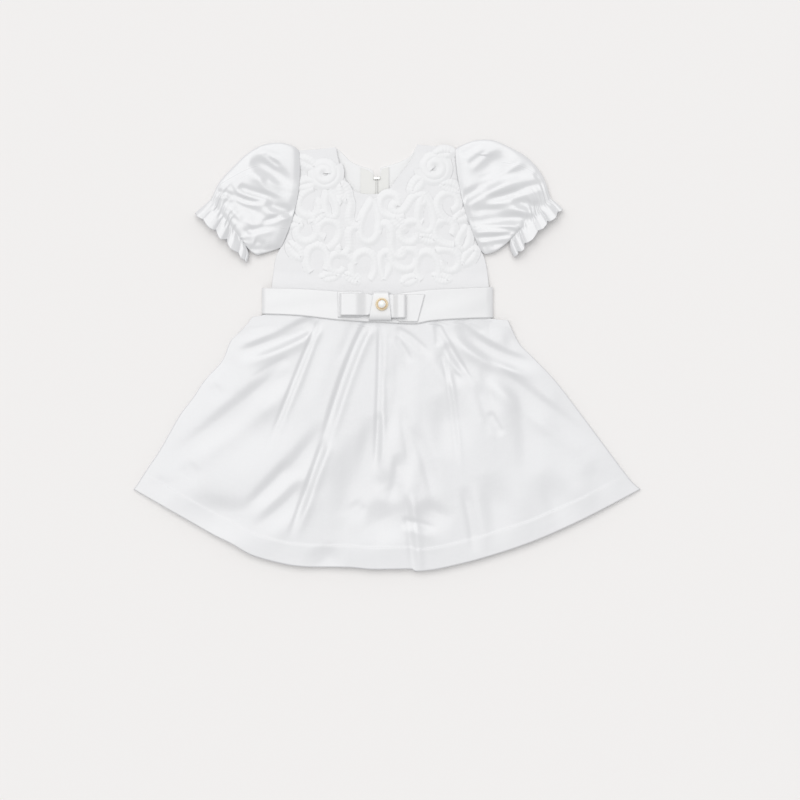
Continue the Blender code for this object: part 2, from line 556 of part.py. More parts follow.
def sleeve_rings(stations, folds, thickness_in):
    """Rings of a puff sleeve from armhole to cuff, moved in from the outside by thickness_in."""
    rows = np.array(stations, float)
    at = np.array([0, 0.5, 1, 1.5, 2, 2.6, 3.2, 3.8, 4.4, 5, 5.6, 6.2, 6.6, 7, 8, 9])
    cuff = 7
    rows = smooth_curve(np.arange(len(rows)), rows, at, corners=(cuff,))
    on_top, below = 28, 8
    even = np.linspace(-1, 1, on_top + 1)
    q_top = (even - np.cos(math.pi * (even + 1) / 2)) / 2
    q_low = np.linspace(1, -1, below + 1)[1:-1]
    fine = np.resize((1.0, -1.0), on_top + 1)
    lobes = 2 * np.abs(np.cos(even * math.pi * FRILL_LOBES / 2)) ** 0.7 - 1
    rings = []
    for k, (top_x, top_y, low_x, low_y, bow, height, gather, wave) in enumerate(rows):
        top, low = np.array((top_x, top_y)), np.array((low_x, low_y))
        half = np.linalg.norm(low - top) / 2
        inset = (half - thickness_in) / half
        inner_height = height - 2 * thickness_in
        centre = thickness_in + 0.42 * inner_height
        before = rows[max(k - 1, 0)]
        way = (top + low) / 2 - (before[0:2] + before[2:4]) / 2
        way = way / max(np.linalg.norm(way), 1e-9)
        frill = ramp(at[k], cuff, cuff + 1)
        crimp = (fine * (1 - frill) + lobes * frill) * (1 - even**4)
        crown = (1 - np.abs(q_top) ** CROWN) ** (1 / CROWN)
        z_low = centre - 0.42 * inner_height * (1 - np.abs(q_low) ** 5) ** 0.2
        q = np.concatenate([q_top, q_low]) * inset
        share = (q[:, None] + 1) / 2
        plan = top + (low - top) * share
        plan[:, 0] += 4 * bow * (share * (1 - share))[:, 0]
        plan[: on_top + 1] += wave * crimp[:, None] * way
        x, y = plan[: on_top + 1].T
        depth = sum(fold_height(x, y, fold) for fold in folds) * (1 - even**6)
        depth = depth * ramp(at[k], 0, 1) * (1 - ramp(at[k], cuff - 1, cuff))
        # A valley can use up the space below it, but never more.
        space = (height - 2 * CLOTH) * crown * 0.9 + 0.01
        z_top = centre + 0.58 * inner_height * crown + gather * crimp + np.maximum(depth, 0)
        z_top = z_top - space * (1 - np.exp(np.minimum(depth, 0) / space))
        rings.append(np.column_stack([plan, np.concatenate([z_top, z_low])]))
    return rings


def make_sleeves(finish):
    sleeves = (("sleeve_left", SLEEVE_LEFT, FOLDS_LEFT), ("sleeve_right", SLEEVE_RIGHT, FOLDS_RIGHT))
    for name, stations, folds in sleeves:
        outer, inner = (sleeve_rings(stations, folds, inside) for inside in (0.0, CLOTH))
        tube(name, outer, inner, finish)


def sash_rings(thickness_in):
    """Rings round the waist, from the sash's upper edge to its lower edge."""
    left, right = SASH[0].x, SASH[-1].x
    end_height = (SASH_UNDER + CLOTH) / 2
    end_length = end_height
    flat_x = np.linspace(left + end_length, right - end_length, 31)
    edge_x = [e.x for e in SASH]
    turn = np.radians((45, 90, 135))
    reach_x, reach_z = end_length - thickness_in, end_height - thickness_in
    away, up = reach_x * np.sin(turn), reach_z * np.cos(turn)
    right_end = np.column_stack([right - end_length + away, end_height + up])
    left_end = np.column_stack([left + end_length - away, end_height - up])
    rings = []
    for share in np.linspace(0, 1, 5):
        z_top = SASH_UNDER + CLOTH + waist_puff(flat_x) - thickness_in
        front = np.column_stack([flat_x, z_top])
        back = np.column_stack([flat_x[::-1], np.full(len(flat_x), thickness_in)])
        section = np.vstack([front, right_end, back, left_end])
        edge_y = [(e.upper, e.lower) for e in SASH]
        edges = smooth_curve(edge_x, edge_y, np.clip(section[:, 0], left, right))
        y = edges[:, 0] + (edges[:, 1] - edges[:, 0]) * share
        rings.append(np.column_stack([section[:, 0], y, section[:, 1]]))
    return rings


def ribbon_strip(name, line, upper, lower, finish, rows=5):
    """A folded ribbon: its middle line in x and z, and its two edges in y at each point."""
    line = np.asarray(line, float)
    way = np.gradient(line, axis=0)
    way /= np.linalg.norm(way, axis=1)[:, None]
    normal = np.column_stack([-way[:, 1], way[:, 0]])
    skins = []
    for side in (0.5, -0.5):
        skin = line + side * RIBBON * normal
        y = upper[:, None] + (lower - upper)[:, None] * np.linspace(0, 1, rows)
        x = np.broadcast_to(skin[:, :1], y.shape)
        z = np.broadcast_to(skin[:, 1:], y.shape)
        skins.append(np.dstack([x, y, z]))
    return wall(name, *skins, finish)


def make_bow_loop(name, end_x, tuck_x, shelf_x, dip_length, edges, finish):
    """A flat loop, folded over at end_x, whose upper layer dips from shelf_x to under the knot."""
    low = LOOP_UNDER + RIBBON / 2
    radius = (LOOP_HOLLOW + RIBBON) / 2
    high = low + 2 * radius
    out = math.copysign(1, end_x - tuck_x)
    fold_x = end_x - out * (radius + RIBBON / 2)
    under = [(x, low) for x in np.linspace(tuck_x, fold_x, 9)]
    bend = [(fold_x + out * radius * math.sin(a), low + radius * (1 - math.cos(a)))
            for a in np.radians((30, 60, 90, 120, 150))]
    over_x = np.linspace(fold_x, tuck_x, 13)
    dip = ramp((over_x - shelf_x) * -out, 0, dip_length)
    over = list(zip(over_x, high - dip * (high - low - RIBBON - SEAM)))
    line = np.array(under + bend + over)
    wide = ramp((line[:, 0] - tuck_x) * out, 7, 12)
    upper = PINCH_UPPER + (edges[0] - PINCH_UPPER) * wide
    lower = PINCH_LOWER + (edges[1] - PINCH_LOWER) * wide
    return ribbon_strip(name, line, upper, lower, finish)


def make_bow_tail(name, outer, inner_x, finish):
    """A flat tail on the sash, from under the knot to its two outer corners."""
    rows, cols = 6, 10
    (upper_x, upper_y), (lower_x, lower_y) = outer
    share = np.linspace(0, 1, cols)[None, :]
    down = np.linspace(0, 1, rows)[:, None]
    out_x = upper_x + (lower_x - upper_x) * down
    x = inner_x + (out_x - inner_x) * share
    wide = ramp(np.abs(x - inner_x), 6, 13)
    top = PINCH_UPPER + (upper_y - PINCH_UPPER) * wide
    bottom = PINCH_LOWER + (lower_y - PINCH_LOWER) * wide
    plan = np.dstack([x, top + (bottom - top) * down])
    under = SASH_UNDER + CLOTH + SEAM + waist_puff(plan[..., 0])
    return make_flat_panel(name, plan, under, RIBBON, finish)


def make_knot(finish):
    """The wrap over the middle of the bow: a strip that arches from its upper to its lower edge."""
    top_y, low_y = 69.5, 38.0
    top_left, top_right, low_left, low_right = -14.3, 1.5, -19.8, 5.0
    rows, cols = 15, 9
    skins = []
    for skin_in in (0.0, CLOTH):
        turn = np.linspace(0, math.pi, rows)
        reach = (top_y - low_y) / 2 - skin_in
        y = (top_y + low_y) / 2 + reach * np.sign(np.cos(turn)) * np.abs(np.cos(turn)) ** 0.35
        z = TAIL_UNDER + (KNOT_TOP - TAIL_UNDER - skin_in) * np.sin(turn) ** 0.45
        down = (top_y - y) / (top_y - low_y)
        left = top_left + (low_left - top_left) * down
        right = top_right + (low_right - top_right) * down
        x = left[:, None] + (right - left)[:, None] * np.linspace(0, 1, cols)
        y, z = (np.broadcast_to(a[:, None], x.shape) for a in (y, z))
        skins.append(np.dstack([x, y, z]))
    return wall("bow_knot", *skins, finish)


def turned(name, profile, finish, steps=20):
    """A profile of radius and height, spun round the button's axis."""
    bm = bmesh.new()
    verts = [bm.verts.new((BUTTON_X + r, BUTTON_Y, z)) for r, z in profile]
    edges = [bm.edges.new(pair) for pair in zip(verts, verts[1:])]
    centre = (BUTTON_X, BUTTON_Y, 0)
    bmesh.ops.spin(bm, geom=verts + edges, cent=centre, axis=(0, 0, 1), angle=2 * math.pi, steps=steps)
    bmesh.ops.remove_doubles(bm, verts=bm.verts, dist=1e-4)
    return make_object(name, bm, finish)


def make_button(metal, pearl_finish):
    base = KNOT_TOP + SEAM
    rim_radius, rim_width, rim_height, plate = 7.0, 2.3, 2.6, 1.0
    bend = rim_width / 2
    crest = [
        (rim_radius - bend + bend * math.cos(a), base + rim_height - bend + bend * math.sin(a))
        for a in np.radians((0, 45, 90, 135, 180))
    ]
    seat = [(rim_radius - rim_width, base + plate), (0, base + plate)]
    turned("button_ring", [(0, base), (rim_radius, base), *crest, *seat], metal)
    radius, squash = 4.3, 0.8
    middle = base + plate + SEAM + radius * squash
    arc = np.radians(np.linspace(-90, 90, 11))
    ball = [(radius * math.cos(a), middle + radius * squash * math.sin(a)) for a in arc]
    turned("pearl", ball, pearl_finish)


def make_sash_and_bow(finish):
    tube("sash", sash_rings(0.0), sash_rings(CLOTH), finish)
    make_bow_tail("bow_tail_left", ((-54.0, 70.0), (-53.5, 41.5)), -16.5, finish)
    make_bow_tail("bow_tail_right", ((41.5, 66.5), (33.5, 36.6)), 1.0, finish)
    make_bow_loop("bow_loop_left", -51.5, -9.5, -35.0, 13.5, (67.6, 43.5), finish)
    make_bow_loop("bow_loop_right", 20.9, -6.5, 14.0, 8.5, (66.5, 40.7), finish)
    make_knot(finish)


def make_dress():
    skirt_satin = make_finish("skirt_satin", (0.87, 0.87, 0.88), 0.36, sheen=0.2)
    sleeve_satin = make_finish("sleeve_satin", (0.86, 0.87, 0.88), 0.32, sheen=0.2)
    sash_satin = make_finish("sash_satin", (0.88, 0.88, 0.88), 0.38, sheen=0.2)
    ribbon_net = make_finish("ribbon_net", (0.84, 0.84, 0.84), 0.7, sheen=0.3)
    tape_weave = make_finish("tape_weave", (0.86, 0.86, 0.84), 0.8)
    slider_metal = make_finish("slider_metal", (0.55, 0.55, 0.54), 0.35, metallic=1.0)
    pale_gold = make_finish("pale_gold", (0.80, 0.66, 0.44), 0.3, metallic=1.0)
    pearl_lustre = make_finish("pearl_lustre", (0.95, 0.93, 0.90), 0.18)
    make_skirt(skirt_satin)
    make_bodice_front(ribbon_net)
    make_bodice_backs(skirt_satin)
    make_zip(tape_weave, slider_metal)
    make_sleeves(sleeve_satin)
    make_sash_and_bow(sash_satin)
    make_button(pale_gold, pearl_lustre)


for old in list(bpy.data.objects):
    bpy.data.objects.remove(old, do_unlink=True)
make_dress()
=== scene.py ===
# %% [markdown]
# # A baby's white satin dress, laid flat
# The real dress is cut from satin: a bodice with ribbon work, two puff sleeves, a pleated skirt and a sash
# with a bow. It lies on its back, so every piece is a thin sheet that rests on the one below it. The packed
# solids give the size and the place of each piece; here each one gets its cloth.

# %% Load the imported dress
import math
from collections import namedtuple
import bmesh
import bpy
import numpy as np
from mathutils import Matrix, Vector


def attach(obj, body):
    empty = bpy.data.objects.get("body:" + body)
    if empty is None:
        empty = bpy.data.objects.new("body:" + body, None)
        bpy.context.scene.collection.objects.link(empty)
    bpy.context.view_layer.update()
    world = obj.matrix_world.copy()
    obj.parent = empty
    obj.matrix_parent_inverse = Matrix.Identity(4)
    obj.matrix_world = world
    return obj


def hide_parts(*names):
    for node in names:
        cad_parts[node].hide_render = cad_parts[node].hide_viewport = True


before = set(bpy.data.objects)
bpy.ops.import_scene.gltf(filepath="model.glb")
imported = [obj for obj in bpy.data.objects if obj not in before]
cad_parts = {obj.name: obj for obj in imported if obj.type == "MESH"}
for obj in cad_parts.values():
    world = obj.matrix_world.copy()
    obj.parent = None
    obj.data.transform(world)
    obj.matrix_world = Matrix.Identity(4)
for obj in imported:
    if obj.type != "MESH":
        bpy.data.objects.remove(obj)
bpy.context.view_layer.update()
MM = 0.001
print("nodes:", sorted(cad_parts))

# %% [markdown]
# ## Camera, floor and light
# The photograph looks straight down on the dress. A camera that has no turn at all looks down its own -Z
# axis with +Y upwards, so it only has to be lifted. Its height follows from the lens and from the width of
# floor that the picture covers.

# %% Camera
LENS, SENSOR = 0.085, 0.036
VIEW_WIDTH = 0.880
VIEW_CENTRE = (0.0143, -0.0490)
camera_data = bpy.data.cameras.new("overhead")
camera_data.lens, camera_data.sensor_width = LENS * 1000, SENSOR * 1000
camera = bpy.data.objects.new("overhead", camera_data)
camera.location = (*VIEW_CENTRE, VIEW_WIDTH * LENS / SENSOR)
bpy.context.scene.collection.objects.link(camera)
bpy.context.scene.camera = camera
print("camera height", round(camera.location.z, 3), "m")

# %% [markdown]
# White cloth on a white floor needs a light that is nearly even, or the cloth burns out on one side. A little
# more than half of the light comes from the whole sky. The rest is a high, very broad sun beyond the top
# edge: its rays reach every part of the floor alike, and it leaves one side of each fold bright and the
# other dark.

# %% Floor and lights
scene = bpy.context.scene
scene.view_settings.view_transform = "Standard"


def new_material(name, colour, roughness, **sockets):
    """A material whose Principled shader has its constant values set; returns it with its nodes."""
    material = bpy.data.materials.new(name)
    material.use_nodes = True
    material.diffuse_color = (*colour, 1.0)
    shader = material.node_tree.nodes["Principled BSDF"]
    shader.inputs["Base Color"].default_value = (*colour, 1.0)
    shader.inputs["Roughness"].default_value = roughness
    for socket, value in sockets.items():
        shader.inputs[socket.replace("_", " ")].default_value = value
    return material, material.node_tree, shader


FLOOR_HALF = 3.0
floor_mesh = bpy.data.meshes.new("floor")
corners = [(-1, -1), (1, -1), (1, 1), (-1, 1)]
floor_mesh.from_pydata([(x * FLOOR_HALF, y * FLOOR_HALF, 0) for x, y in corners], [], [(0, 1, 2, 3)])
floor = bpy.data.objects.new("floor", floor_mesh)
scene.collection.objects.link(floor)
floor_mesh.materials.append(new_material("pale paper", (0.857, 0.841, 0.833), 0.9)[0])

sky = bpy.data.worlds.new("even sky")
sky.use_nodes = True
sky.node_tree.nodes["Background"].inputs["Color"].default_value = (0.985, 0.992, 1.0, 1.0)
sky.node_tree.nodes["Background"].inputs["Strength"].default_value = 0.60
scene.world = sky

SUN_POWER, SUN_SPREAD = 1.50, 60
SUN_HEIGHT, SUN_BEARING = math.radians(66), math.radians(114)  # above the floor, and seen from the +X axis
window = bpy.data.objects.new("window", bpy.data.lights.new("window", "SUN"))
window.data.energy, window.data.angle = SUN_POWER, math.radians(SUN_SPREAD)
window.data.color = (1.0, 0.995, 0.985)
over_floor = math.cos(SUN_HEIGHT)
towards = (over_floor * math.cos(SUN_BEARING), over_floor * math.sin(SUN_BEARING), math.sin(SUN_HEIGHT))
window.rotation_euler = Vector(towards).to_track_quat("Z", "Y").to_euler()
scene.collection.objects.link(window)

# %% [markdown]
# ## Ways to measure a soft shape
# A laid garment is a set of height fields: for each point of the plan there is one height of cloth. These
# helpers work on whole arrays of points at once, in millimetres: a smooth ramp, a smooth curve through a
# few measured points, and a grid stretched between four edge curves.

# %% Curves and grids


def ramp(value, low, high):
    """0 below low, 1 above high and smooth between."""
    t = np.clip((np.asarray(value, float) - low) / (high - low), 0.0, 1.0)
    return t * t * (3.0 - 2.0 * t)


def smooth_curve(knots, points, at, corners=()):
    """Points at the parameters at, on a smooth curve through the rows that turns sharply at each corner."""
    knots, points, at = (np.asarray(a, float) for a in (knots, points, at))
    slope = np.diff(points, axis=0) / np.diff(knots)[:, None]
    arriving, leaving = np.vstack([slope[:1], slope]), np.vstack([slope, slope[-1:]])
    for i in range(1, len(knots) - 1):
        if i not in corners:
            arriving[i] = leaving[i] = (points[i + 1] - points[i - 1]) / (knots[i + 1] - knots[i - 1])
    span = np.clip(np.searchsorted(knots, at, side="right") - 1, 0, len(knots) - 2)
    h = np.diff(knots)[span][:, None]
    t = (at - knots[span])[:, None] / h
    a, b = points[span], points[span + 1]
    curve = (2 * t**3 - 3 * t**2 + 1) * a + (3 * t**2 - 2 * t**3) * b
    return curve + h * ((t**3 - 2 * t**2 + t) * leaving[span] + (t**3 - t**2) * arriving[span + 1])


def shares(values):
    """The values as shares of the way from the first to the last."""
    values = np.asarray(values, float)
    return (values - values[0]) / (values[-1] - values[0])


def patch(u, v, top, low, left, right):
    """Plan points between four edge curves: rows run from top to low, columns from left to right."""
    u, v = u[None, :, None], v[:, None, None]
    left, right = left[:, None, :], right[:, None, :]
    across = (1 - v) * top[None] + v * low[None]
    left_pull = (1 - u) * (left - (1 - v) * left[:1] - v * left[-1:])
    return across + left_pull + u * (right - (1 - v) * right[:1] - v * right[-1:])


# %% [markdown]
# Cloth is thin but it isn't a single face: a shell with an upper skin, an under skin and a closed edge
# catches light at its edge and never shows a hole. The under skin is hardly seen, so it may have fewer
# points; its border is knitted to the fine one as a zip closes, always from the side that lags behind.

# %% Thin shells from grids


def grid_faces(rows, cols, first, flip=False):
    """The quads of a grid whose vertices start at index first."""
    i = np.arange(rows - 1)[:, None] * cols + np.arange(cols - 1)[None, :] + first
    quads = np.stack([i, i + 1, i + cols + 1, i + cols], axis=-1).reshape(-1, 4)
    return quads[:, ::-1] if flip else quads


def border(rows, cols, first):
    """The border vertices of a grid with their place along its four sides."""
    last, end = rows - 1, cols - 1
    loop = [(j / end, j) for j in range(end)]
    loop += [(1 + i / last, i * cols + end) for i in range(last)]
    loop += [(2 + j / end, last * cols + end - j) for j in range(end)]
    loop += [(3 + i / last, (last - i) * cols) for i in range(last)]
    return [(place, first + index) for place, index in loop] + [(4.0, first)]


def finish_mesh(name, points, faces, uv):
    """A smooth object in metres from millimetre points, its faces turned outwards."""
    mesh = bpy.data.meshes.new(name)
    mesh.from_pydata((np.asarray(points) * MM).tolist(), [], [list(map(int, f)) for f in faces])
    bm = bmesh.new()
    bm.from_mesh(mesh)
    bmesh.ops.recalc_face_normals(bm, faces=bm.faces)
    bm.to_mesh(mesh)
    bm.free()
    mesh.shade_smooth()
    layer = mesh.uv_layers.new(name="cloth")
    index = np.empty(len(mesh.loops), dtype=np.int64)
    mesh.loops.foreach_get("vertex_index", index)
    layer.data.foreach_set("uv", (uv[index] * MM).astype(np.float32).ravel())
    piece = bpy.data.objects.new(name, mesh)
    scene.collection.objects.link(piece)
    print(f"{name}: {len(points)} points, {sum(len(f) - 2 for f in faces)} triangles")
    return piece


def cloth_shell(name, skins, uvs=None):
    """A closed thin shell between a fine upper grid and an under grid, which may be coarser."""
    top, under = skins
    (r1, c1), (r2, c2) = top.shape[:2], under.shape[:2]
    first = r1 * c1
    faces = [*grid_faces(r1, c1, 0, flip=True), *grid_faces(r2, c2, first)]
    a, b = border(r1, c1, 0), border(r2, c2, first)
    i = j = 0
    while i < len(a) - 1 or j < len(b) - 1:
        if j == len(b) - 1 or (i < len(a) - 1 and a[i + 1][0] <= b[j + 1][0] + 1e-9):
            faces.append((a[i][1], a[i + 1][1], b[j][1]))
            i += 1
        else:
            faces.append((a[i][1], b[j + 1][1], b[j][1]))
            j += 1
    points = np.vstack([top.reshape(-1, 3), under.reshape(-1, 3)])
    uvs = uvs or [skin[..., :2] for skin in skins]
    return finish_mesh(name, points, faces, np.vstack([g.reshape(-1, 2) for g in uvs]))


def cloth_tube(name, outer, inner, uv):
    """A closed shell round a tube that is open at both ends, from two arrays of rings."""
    rings, around = outer.shape[:2]
    faces = []
    for start, flip in ((0, False), (rings * around, True)):
        ring, step = np.arange(rings - 1)[:, None] * around, np.arange(around)[None, :]
        after = (step + 1) % around
        quads = np.stack([ring + step, ring + after, ring + around + after, ring + around + step], -1)
        quads = quads.reshape(-1, 4) + start
        faces += list(quads[:, ::-1] if flip else quads)
    for row in (0, rings - 1):
        a = row * around + np.arange(around)
        b = row * around + (np.arange(around) + 1) % around
        faces += list(np.stack([a, b, b + rings * around, a + rings * around], -1))
    points = np.vstack([outer.reshape(-1, 3), inner.reshape(-1, 3)])
    return finish_mesh(name, points, faces, np.vstack([uv.reshape(-1, 2)] * 2))


def surface_area(grid):
    """Area of a grid of points, in square metres."""
    a, b, c, d = grid[:-1, :-1], grid[:-1, 1:], grid[1:, 1:], grid[1:, :-1]
    cross = np.cross(c - a, d - b)
    return float(np.linalg.norm(cross, axis=-1).sum() / 2 * MM * MM)


pieces, areas = {}, {}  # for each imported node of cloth, its piece and the area of its upper skin


def keep_shell(node, skins, material, uvs=None, name=None):
    """Makes a node's cloth as a shell between two skins."""
    pieces[node], areas[node] = cloth_shell(name or f"{node}_cloth", skins, uvs), surface_area(skins[0])
    pieces[node].data.materials.append(material)


def keep_tube(node, outer, inner, uv, material):
    """Makes a node's cloth as a tube between two arrays of rings."""
    pieces[node] = cloth_tube(f"{node}_cloth", outer, inner, uv)
    pieces[node].data.materials.append(material)
    areas[node] = surface_area(np.concatenate([outer, outer[:, :1]], axis=1))


# %% [markdown]
# ## How high each layer lies
# Under the sash the dress is four layers thick, and elsewhere two. The heights at the waist are the same as
# in the solids: each layer lies on the one below with a hair of space, and eases down to the floor away
# from the waist.

# %% Layer heights, in millimetres
CLOTH, RIBBON, SEAM, EASE = 1.4, 1.2, 0.3, 0.3
SHELL = 0.8  # how thick a tube of cloth is drawn
WAIST_Y = 54.5
SHOULDER_PUFF, BODICE_PUFF, WAIST_PUFF, SKIRT_PUFF = 1.7, 3.4, 3.0, 4.6
GENTLE = 2.2  # how much wider than its steep side a fold's gentle side is
SASH_UNDER = 3 * (CLOTH + SEAM)
SASH_TOP = SASH_UNDER + WAIST_PUFF + CLOTH
TAIL_UNDER = SASH_TOP + SEAM
LOOP_UNDER = TAIL_UNDER + RIBBON + SEAM
KNOT_UNDER = LOOP_UNDER + 2 * (RIBBON + SEAM) + 2 * SEAM
KNOT_TOP = KNOT_UNDER + CLOTH

BACK_BAND = (12, 33, 77, 92)  # in y: off the band, on it, still on it, off it again
FRONT_BAND = (16, 33, 77, 94)


def on_band(y, band):
    """1 on a band that crosses the dress, 0 away from it."""
    off_low, on_low, on_high, off_high = band
    return ramp(y, off_low, on_low) * (1 - ramp(y, on_high, off_high))


def over_sash(y):
    """1 where a panel lies on the sash's back band, 0 away from it."""
    return on_band(y, BACK_BAND)


def near_waist(y):
    """1 under the sash's front band, 0 where the bodice is free."""
    return on_band(y, FRONT_BAND)


def back_under(y):
    """Height of the back panels' under side."""
    return (CLOTH + SEAM) * over_sash(y)


def front_floor(y):
    """Height on which the front panels lie."""
    return back_under(y) + CLOTH + SEAM


def waist_puff(x):
    """The space inside the dress under the sash."""
    middle, half_width = -7.5, 120.0
    return WAIST_PUFF * (1 - np.clip((np.asarray(x) - middle) / half_width, -1, 1) ** 4)


# %% [markdown]
# ## Satin
# Satin floats its threads over several others, so it is smooth one way and has a very fine grain. One node
# group makes that grain, the small waves of pressed cloth and a slight change of tone, half at random along
# the slubs and half a painted shade that darkens the dips of the waves; every cloth here uses it with its
# own values. It reads the cloth's own UV map, which is in metres, so that the grain turns with the cloth.

# %% A node group for woven cloth


def add_node(tree, kind, **values):
    """Adds a node. A value sets the property or socket of its name, and another node's socket is linked."""
    node = tree.nodes.new(kind)
    for key, value in values.items():
        label = key.replace("_", " ")
        if isinstance(value, bpy.types.NodeSocket):
            tree.links.new(value, node.inputs[label])
        elif hasattr(node, key):
            setattr(node, key, value)
        else:
            node.inputs[label].default_value = value
    return node


def sums(tree):
    """A short way to write sums inside a tree: the operation, then its terms."""
    def maths(operation, *terms):
        """One sum: each term is a number or another node's socket."""
        node = add_node(tree, "ShaderNodeMath", operation=operation)
        for socket, term in zip(node.inputs, terms):
            if isinstance(term, bpy.types.NodeSocket):
                tree.links.new(term, socket)
            else:
                socket.default_value = term
        return node.outputs[0]
    return maths


FLOAT = 5.0  # how many threads satin floats over
SLUBS = (260.0, 14.0, 1.0)  # uneven threads to the metre, across and along


def woven_group():
    """A group that turns a place on the cloth into its height, tone and gloss."""
    group = bpy.data.node_groups.new("Woven cloth", "ShaderNodeTree")
    for label in ("Threads per metre", "Float", "Wave size", "Wave height"):
        group.interface.new_socket(label, in_out="INPUT", socket_type="NodeSocketFloat")
    for label in ("Cloth", "Place"):
        group.interface.new_socket(label, in_out="INPUT", socket_type="NodeSocketVector")
    for label in ("Height", "Tone", "Gloss"):
        group.interface.new_socket(label, in_out="OUTPUT", socket_type="NodeSocketFloat")
    given, maths = group.nodes.new("NodeGroupInput").outputs, sums(group)
    split = add_node(group, "ShaderNodeSeparateXYZ", Vector=given["Cloth"]).outputs
    warp, weft = (maths("MULTIPLY", split[axis], given["Threads per metre"]) for axis in "XY")
    shifted = maths("ADD", warp, maths("DIVIDE", weft, given["Float"]))
    warp_round = maths("SINE", maths("MULTIPLY", warp, 2 * math.pi))
    float_round = maths("SINE", maths("MULTIPLY", shifted, 2 * math.pi / FLOAT))
    threads = maths("ADD", maths("MULTIPLY", warp_round, 0.35), maths("MULTIPLY", float_round, 0.25))
    soft = add_node(group, "ShaderNodeTexNoise", Detail=3.0, Roughness=0.55, Distortion=0.6,
                    Vector=given["Place"], Scale=given["Wave size"]).outputs["Fac"]
    fine = add_node(group, "ShaderNodeTexNoise", Detail=2.0, Roughness=0.6, Vector=given["Place"],
                    Scale=maths("MULTIPLY", given["Wave size"], 6.0)).outputs["Fac"]
    waves = maths("MULTIPLY", soft, given["Wave height"])
    small = maths("MULTIPLY", fine, maths("MULTIPLY", given["Wave height"], 0.12))
    stretched = add_node(group, "ShaderNodeVectorMath", operation="MULTIPLY", Vector=given["Cloth"])
    stretched.inputs[1].default_value = SLUBS
    slub = add_node(group, "ShaderNodeTexNoise", Scale=1.0, Detail=2.0, Vector=stretched.outputs[0])
    slub = slub.outputs["Fac"]
    # The tone is half the slubs, which vary at random, and half the waves: the cloth is painted a little
    # darker in the dips of the waves, a painted shade.
    add_node(group, "NodeGroupOutput", Gloss=slub,
             Height=maths("ADD", maths("ADD", waves, small), maths("MULTIPLY", threads, 0.02)),
             Tone=maths("ADD", maths("MULTIPLY", slub, 0.5), maths("MULTIPLY", soft, 0.5)))
    return group


WOVEN = woven_group()


def vary_colour(tree, shader, share, low, high):
    """Mixes the shader's colour between two colours by a share."""
    tint = add_node(tree, "ShaderNodeMix", data_type="RGBA", A=(*low, 1.0), B=(*high, 1.0), Factor=share)
    tree.links.new(tint.outputs["Result"], shader.inputs["Base Color"])


def vary_roughness(tree, shader, share, low, high):
    """Moves the shader's roughness between two values by a share."""
    rough = add_node(tree, "ShaderNodeMapRange", To_Min=low, To_Max=high, Value=share)
    tree.links.new(rough.outputs["Result"], shader.inputs["Roughness"])


def cloth_material(name, colour, roughness, threads=2600.0, wave_size=45.0, wave_height=0.5, bump=0.35,
                   **sockets):
    """Woven cloth: its colour and roughness vary a little, and its grain and waves are a bump."""
    material, tree, shader = new_material(name, colour, roughness, **sockets)
    place = tree.nodes.new("ShaderNodeTexCoord").outputs
    weave = add_node(tree, "ShaderNodeGroup", node_tree=WOVEN, Threads_per_metre=threads, Float=FLOAT,
                     Wave_size=wave_size, Wave_height=wave_height, Cloth=place["UV"], Place=place["Object"])
    weave = weave.outputs
    darker, lighter = [c * 0.975 for c in colour], [min(1.0, c * 1.02) for c in colour]
    # The darker colour falls at random along the slubs and, as painted shade, in the dips of the waves.
    vary_colour(tree, shader, weave["Tone"], darker, lighter)
    vary_roughness(tree, shader, weave["Gloss"], roughness - 0.02, roughness + 0.02)
    relief = add_node(tree, "ShaderNodeBump", Strength=bump, Distance=MM, Height=weave["Height"])
    tree.links.new(relief.outputs["Normal"], shader.inputs["Normal"])
    return material


GLOSS = {"IOR": 1.9, "Sheen_Weight": 0.1}  # what all satin has
SKIRT_SATIN = cloth_material("skirt_satin", (0.724, 0.725, 0.738), 0.34, wave_size=22.0, wave_height=0.9,
                             **GLOSS)
SLEEVE_SATIN = cloth_material("sleeve_satin", (0.716, 0.718, 0.730), 0.28, wave_size=60.0, bump=0.15,
                              **GLOSS)
SASH_SATIN = cloth_material("sash_satin", (0.752, 0.752, 0.760), 0.34, wave_size=30.0, wave_height=0.4,
                            **GLOSS)
print("cloth materials share the group", WOVEN.name)

# %% [markdown]
# ## Folds
# A fold on laid cloth is a trough with a ridge beside it. It is steep where the cloth turns under and runs
# out gently on the other side, and it fades at both ends. The function measures how far each point of the
# grid is from the fold's line, and on which side of it, and the profile across does the rest.

# %% One fold on a height field
Fold = namedtuple("Fold", "name x0 y0 x1 y1 x2 y2 width depth lift side")
FADE, FADE_PER_WIDTH, MOST_FADE, FADE_END = 0.12, 0.035, 0.5, 0.92  # shares of a fold's length
CREST_AWAY, CREST_WIDTH = 1.2, 0.73  # where the ridge stands and how wide it is, in gentle widths


def beside_line(x, y, ends, middle, samples=49):
    """Signed distance from a curve through three points, and the share of the way along it."""
    t = np.linspace(0, 1, samples)
    ends = np.array(ends, float)
    bend = 2 * np.array(middle, float) - ends.mean(axis=0)
    share = t[:, None]
    line = (1 - share) ** 2 * ends[0] + 2 * share * (1 - share) * bend + share**2 * ends[1]
    way = np.gradient(line, axis=0)
    pitch = np.linalg.norm(way, axis=1)
    way = way / pitch[:, None]
    off_x, off_y = x[..., None] - line[:, 0], y[..., None] - line[:, 1]
    nearest = np.argmin(off_x**2 + off_y**2, axis=-1)
    pick = nearest[..., None]
    near_x = np.take_along_axis(off_x, pick, -1)[..., 0]
    near_y = np.take_along_axis(off_y, pick, -1)[..., 0]
    aside = way[nearest, 0] * near_y - way[nearest, 1] * near_x
    along = way[nearest, 0] * near_x + way[nearest, 1] * near_y
    return aside, t[nearest] + np.clip(along / pitch[nearest], -1, 1) / (samples - 1)


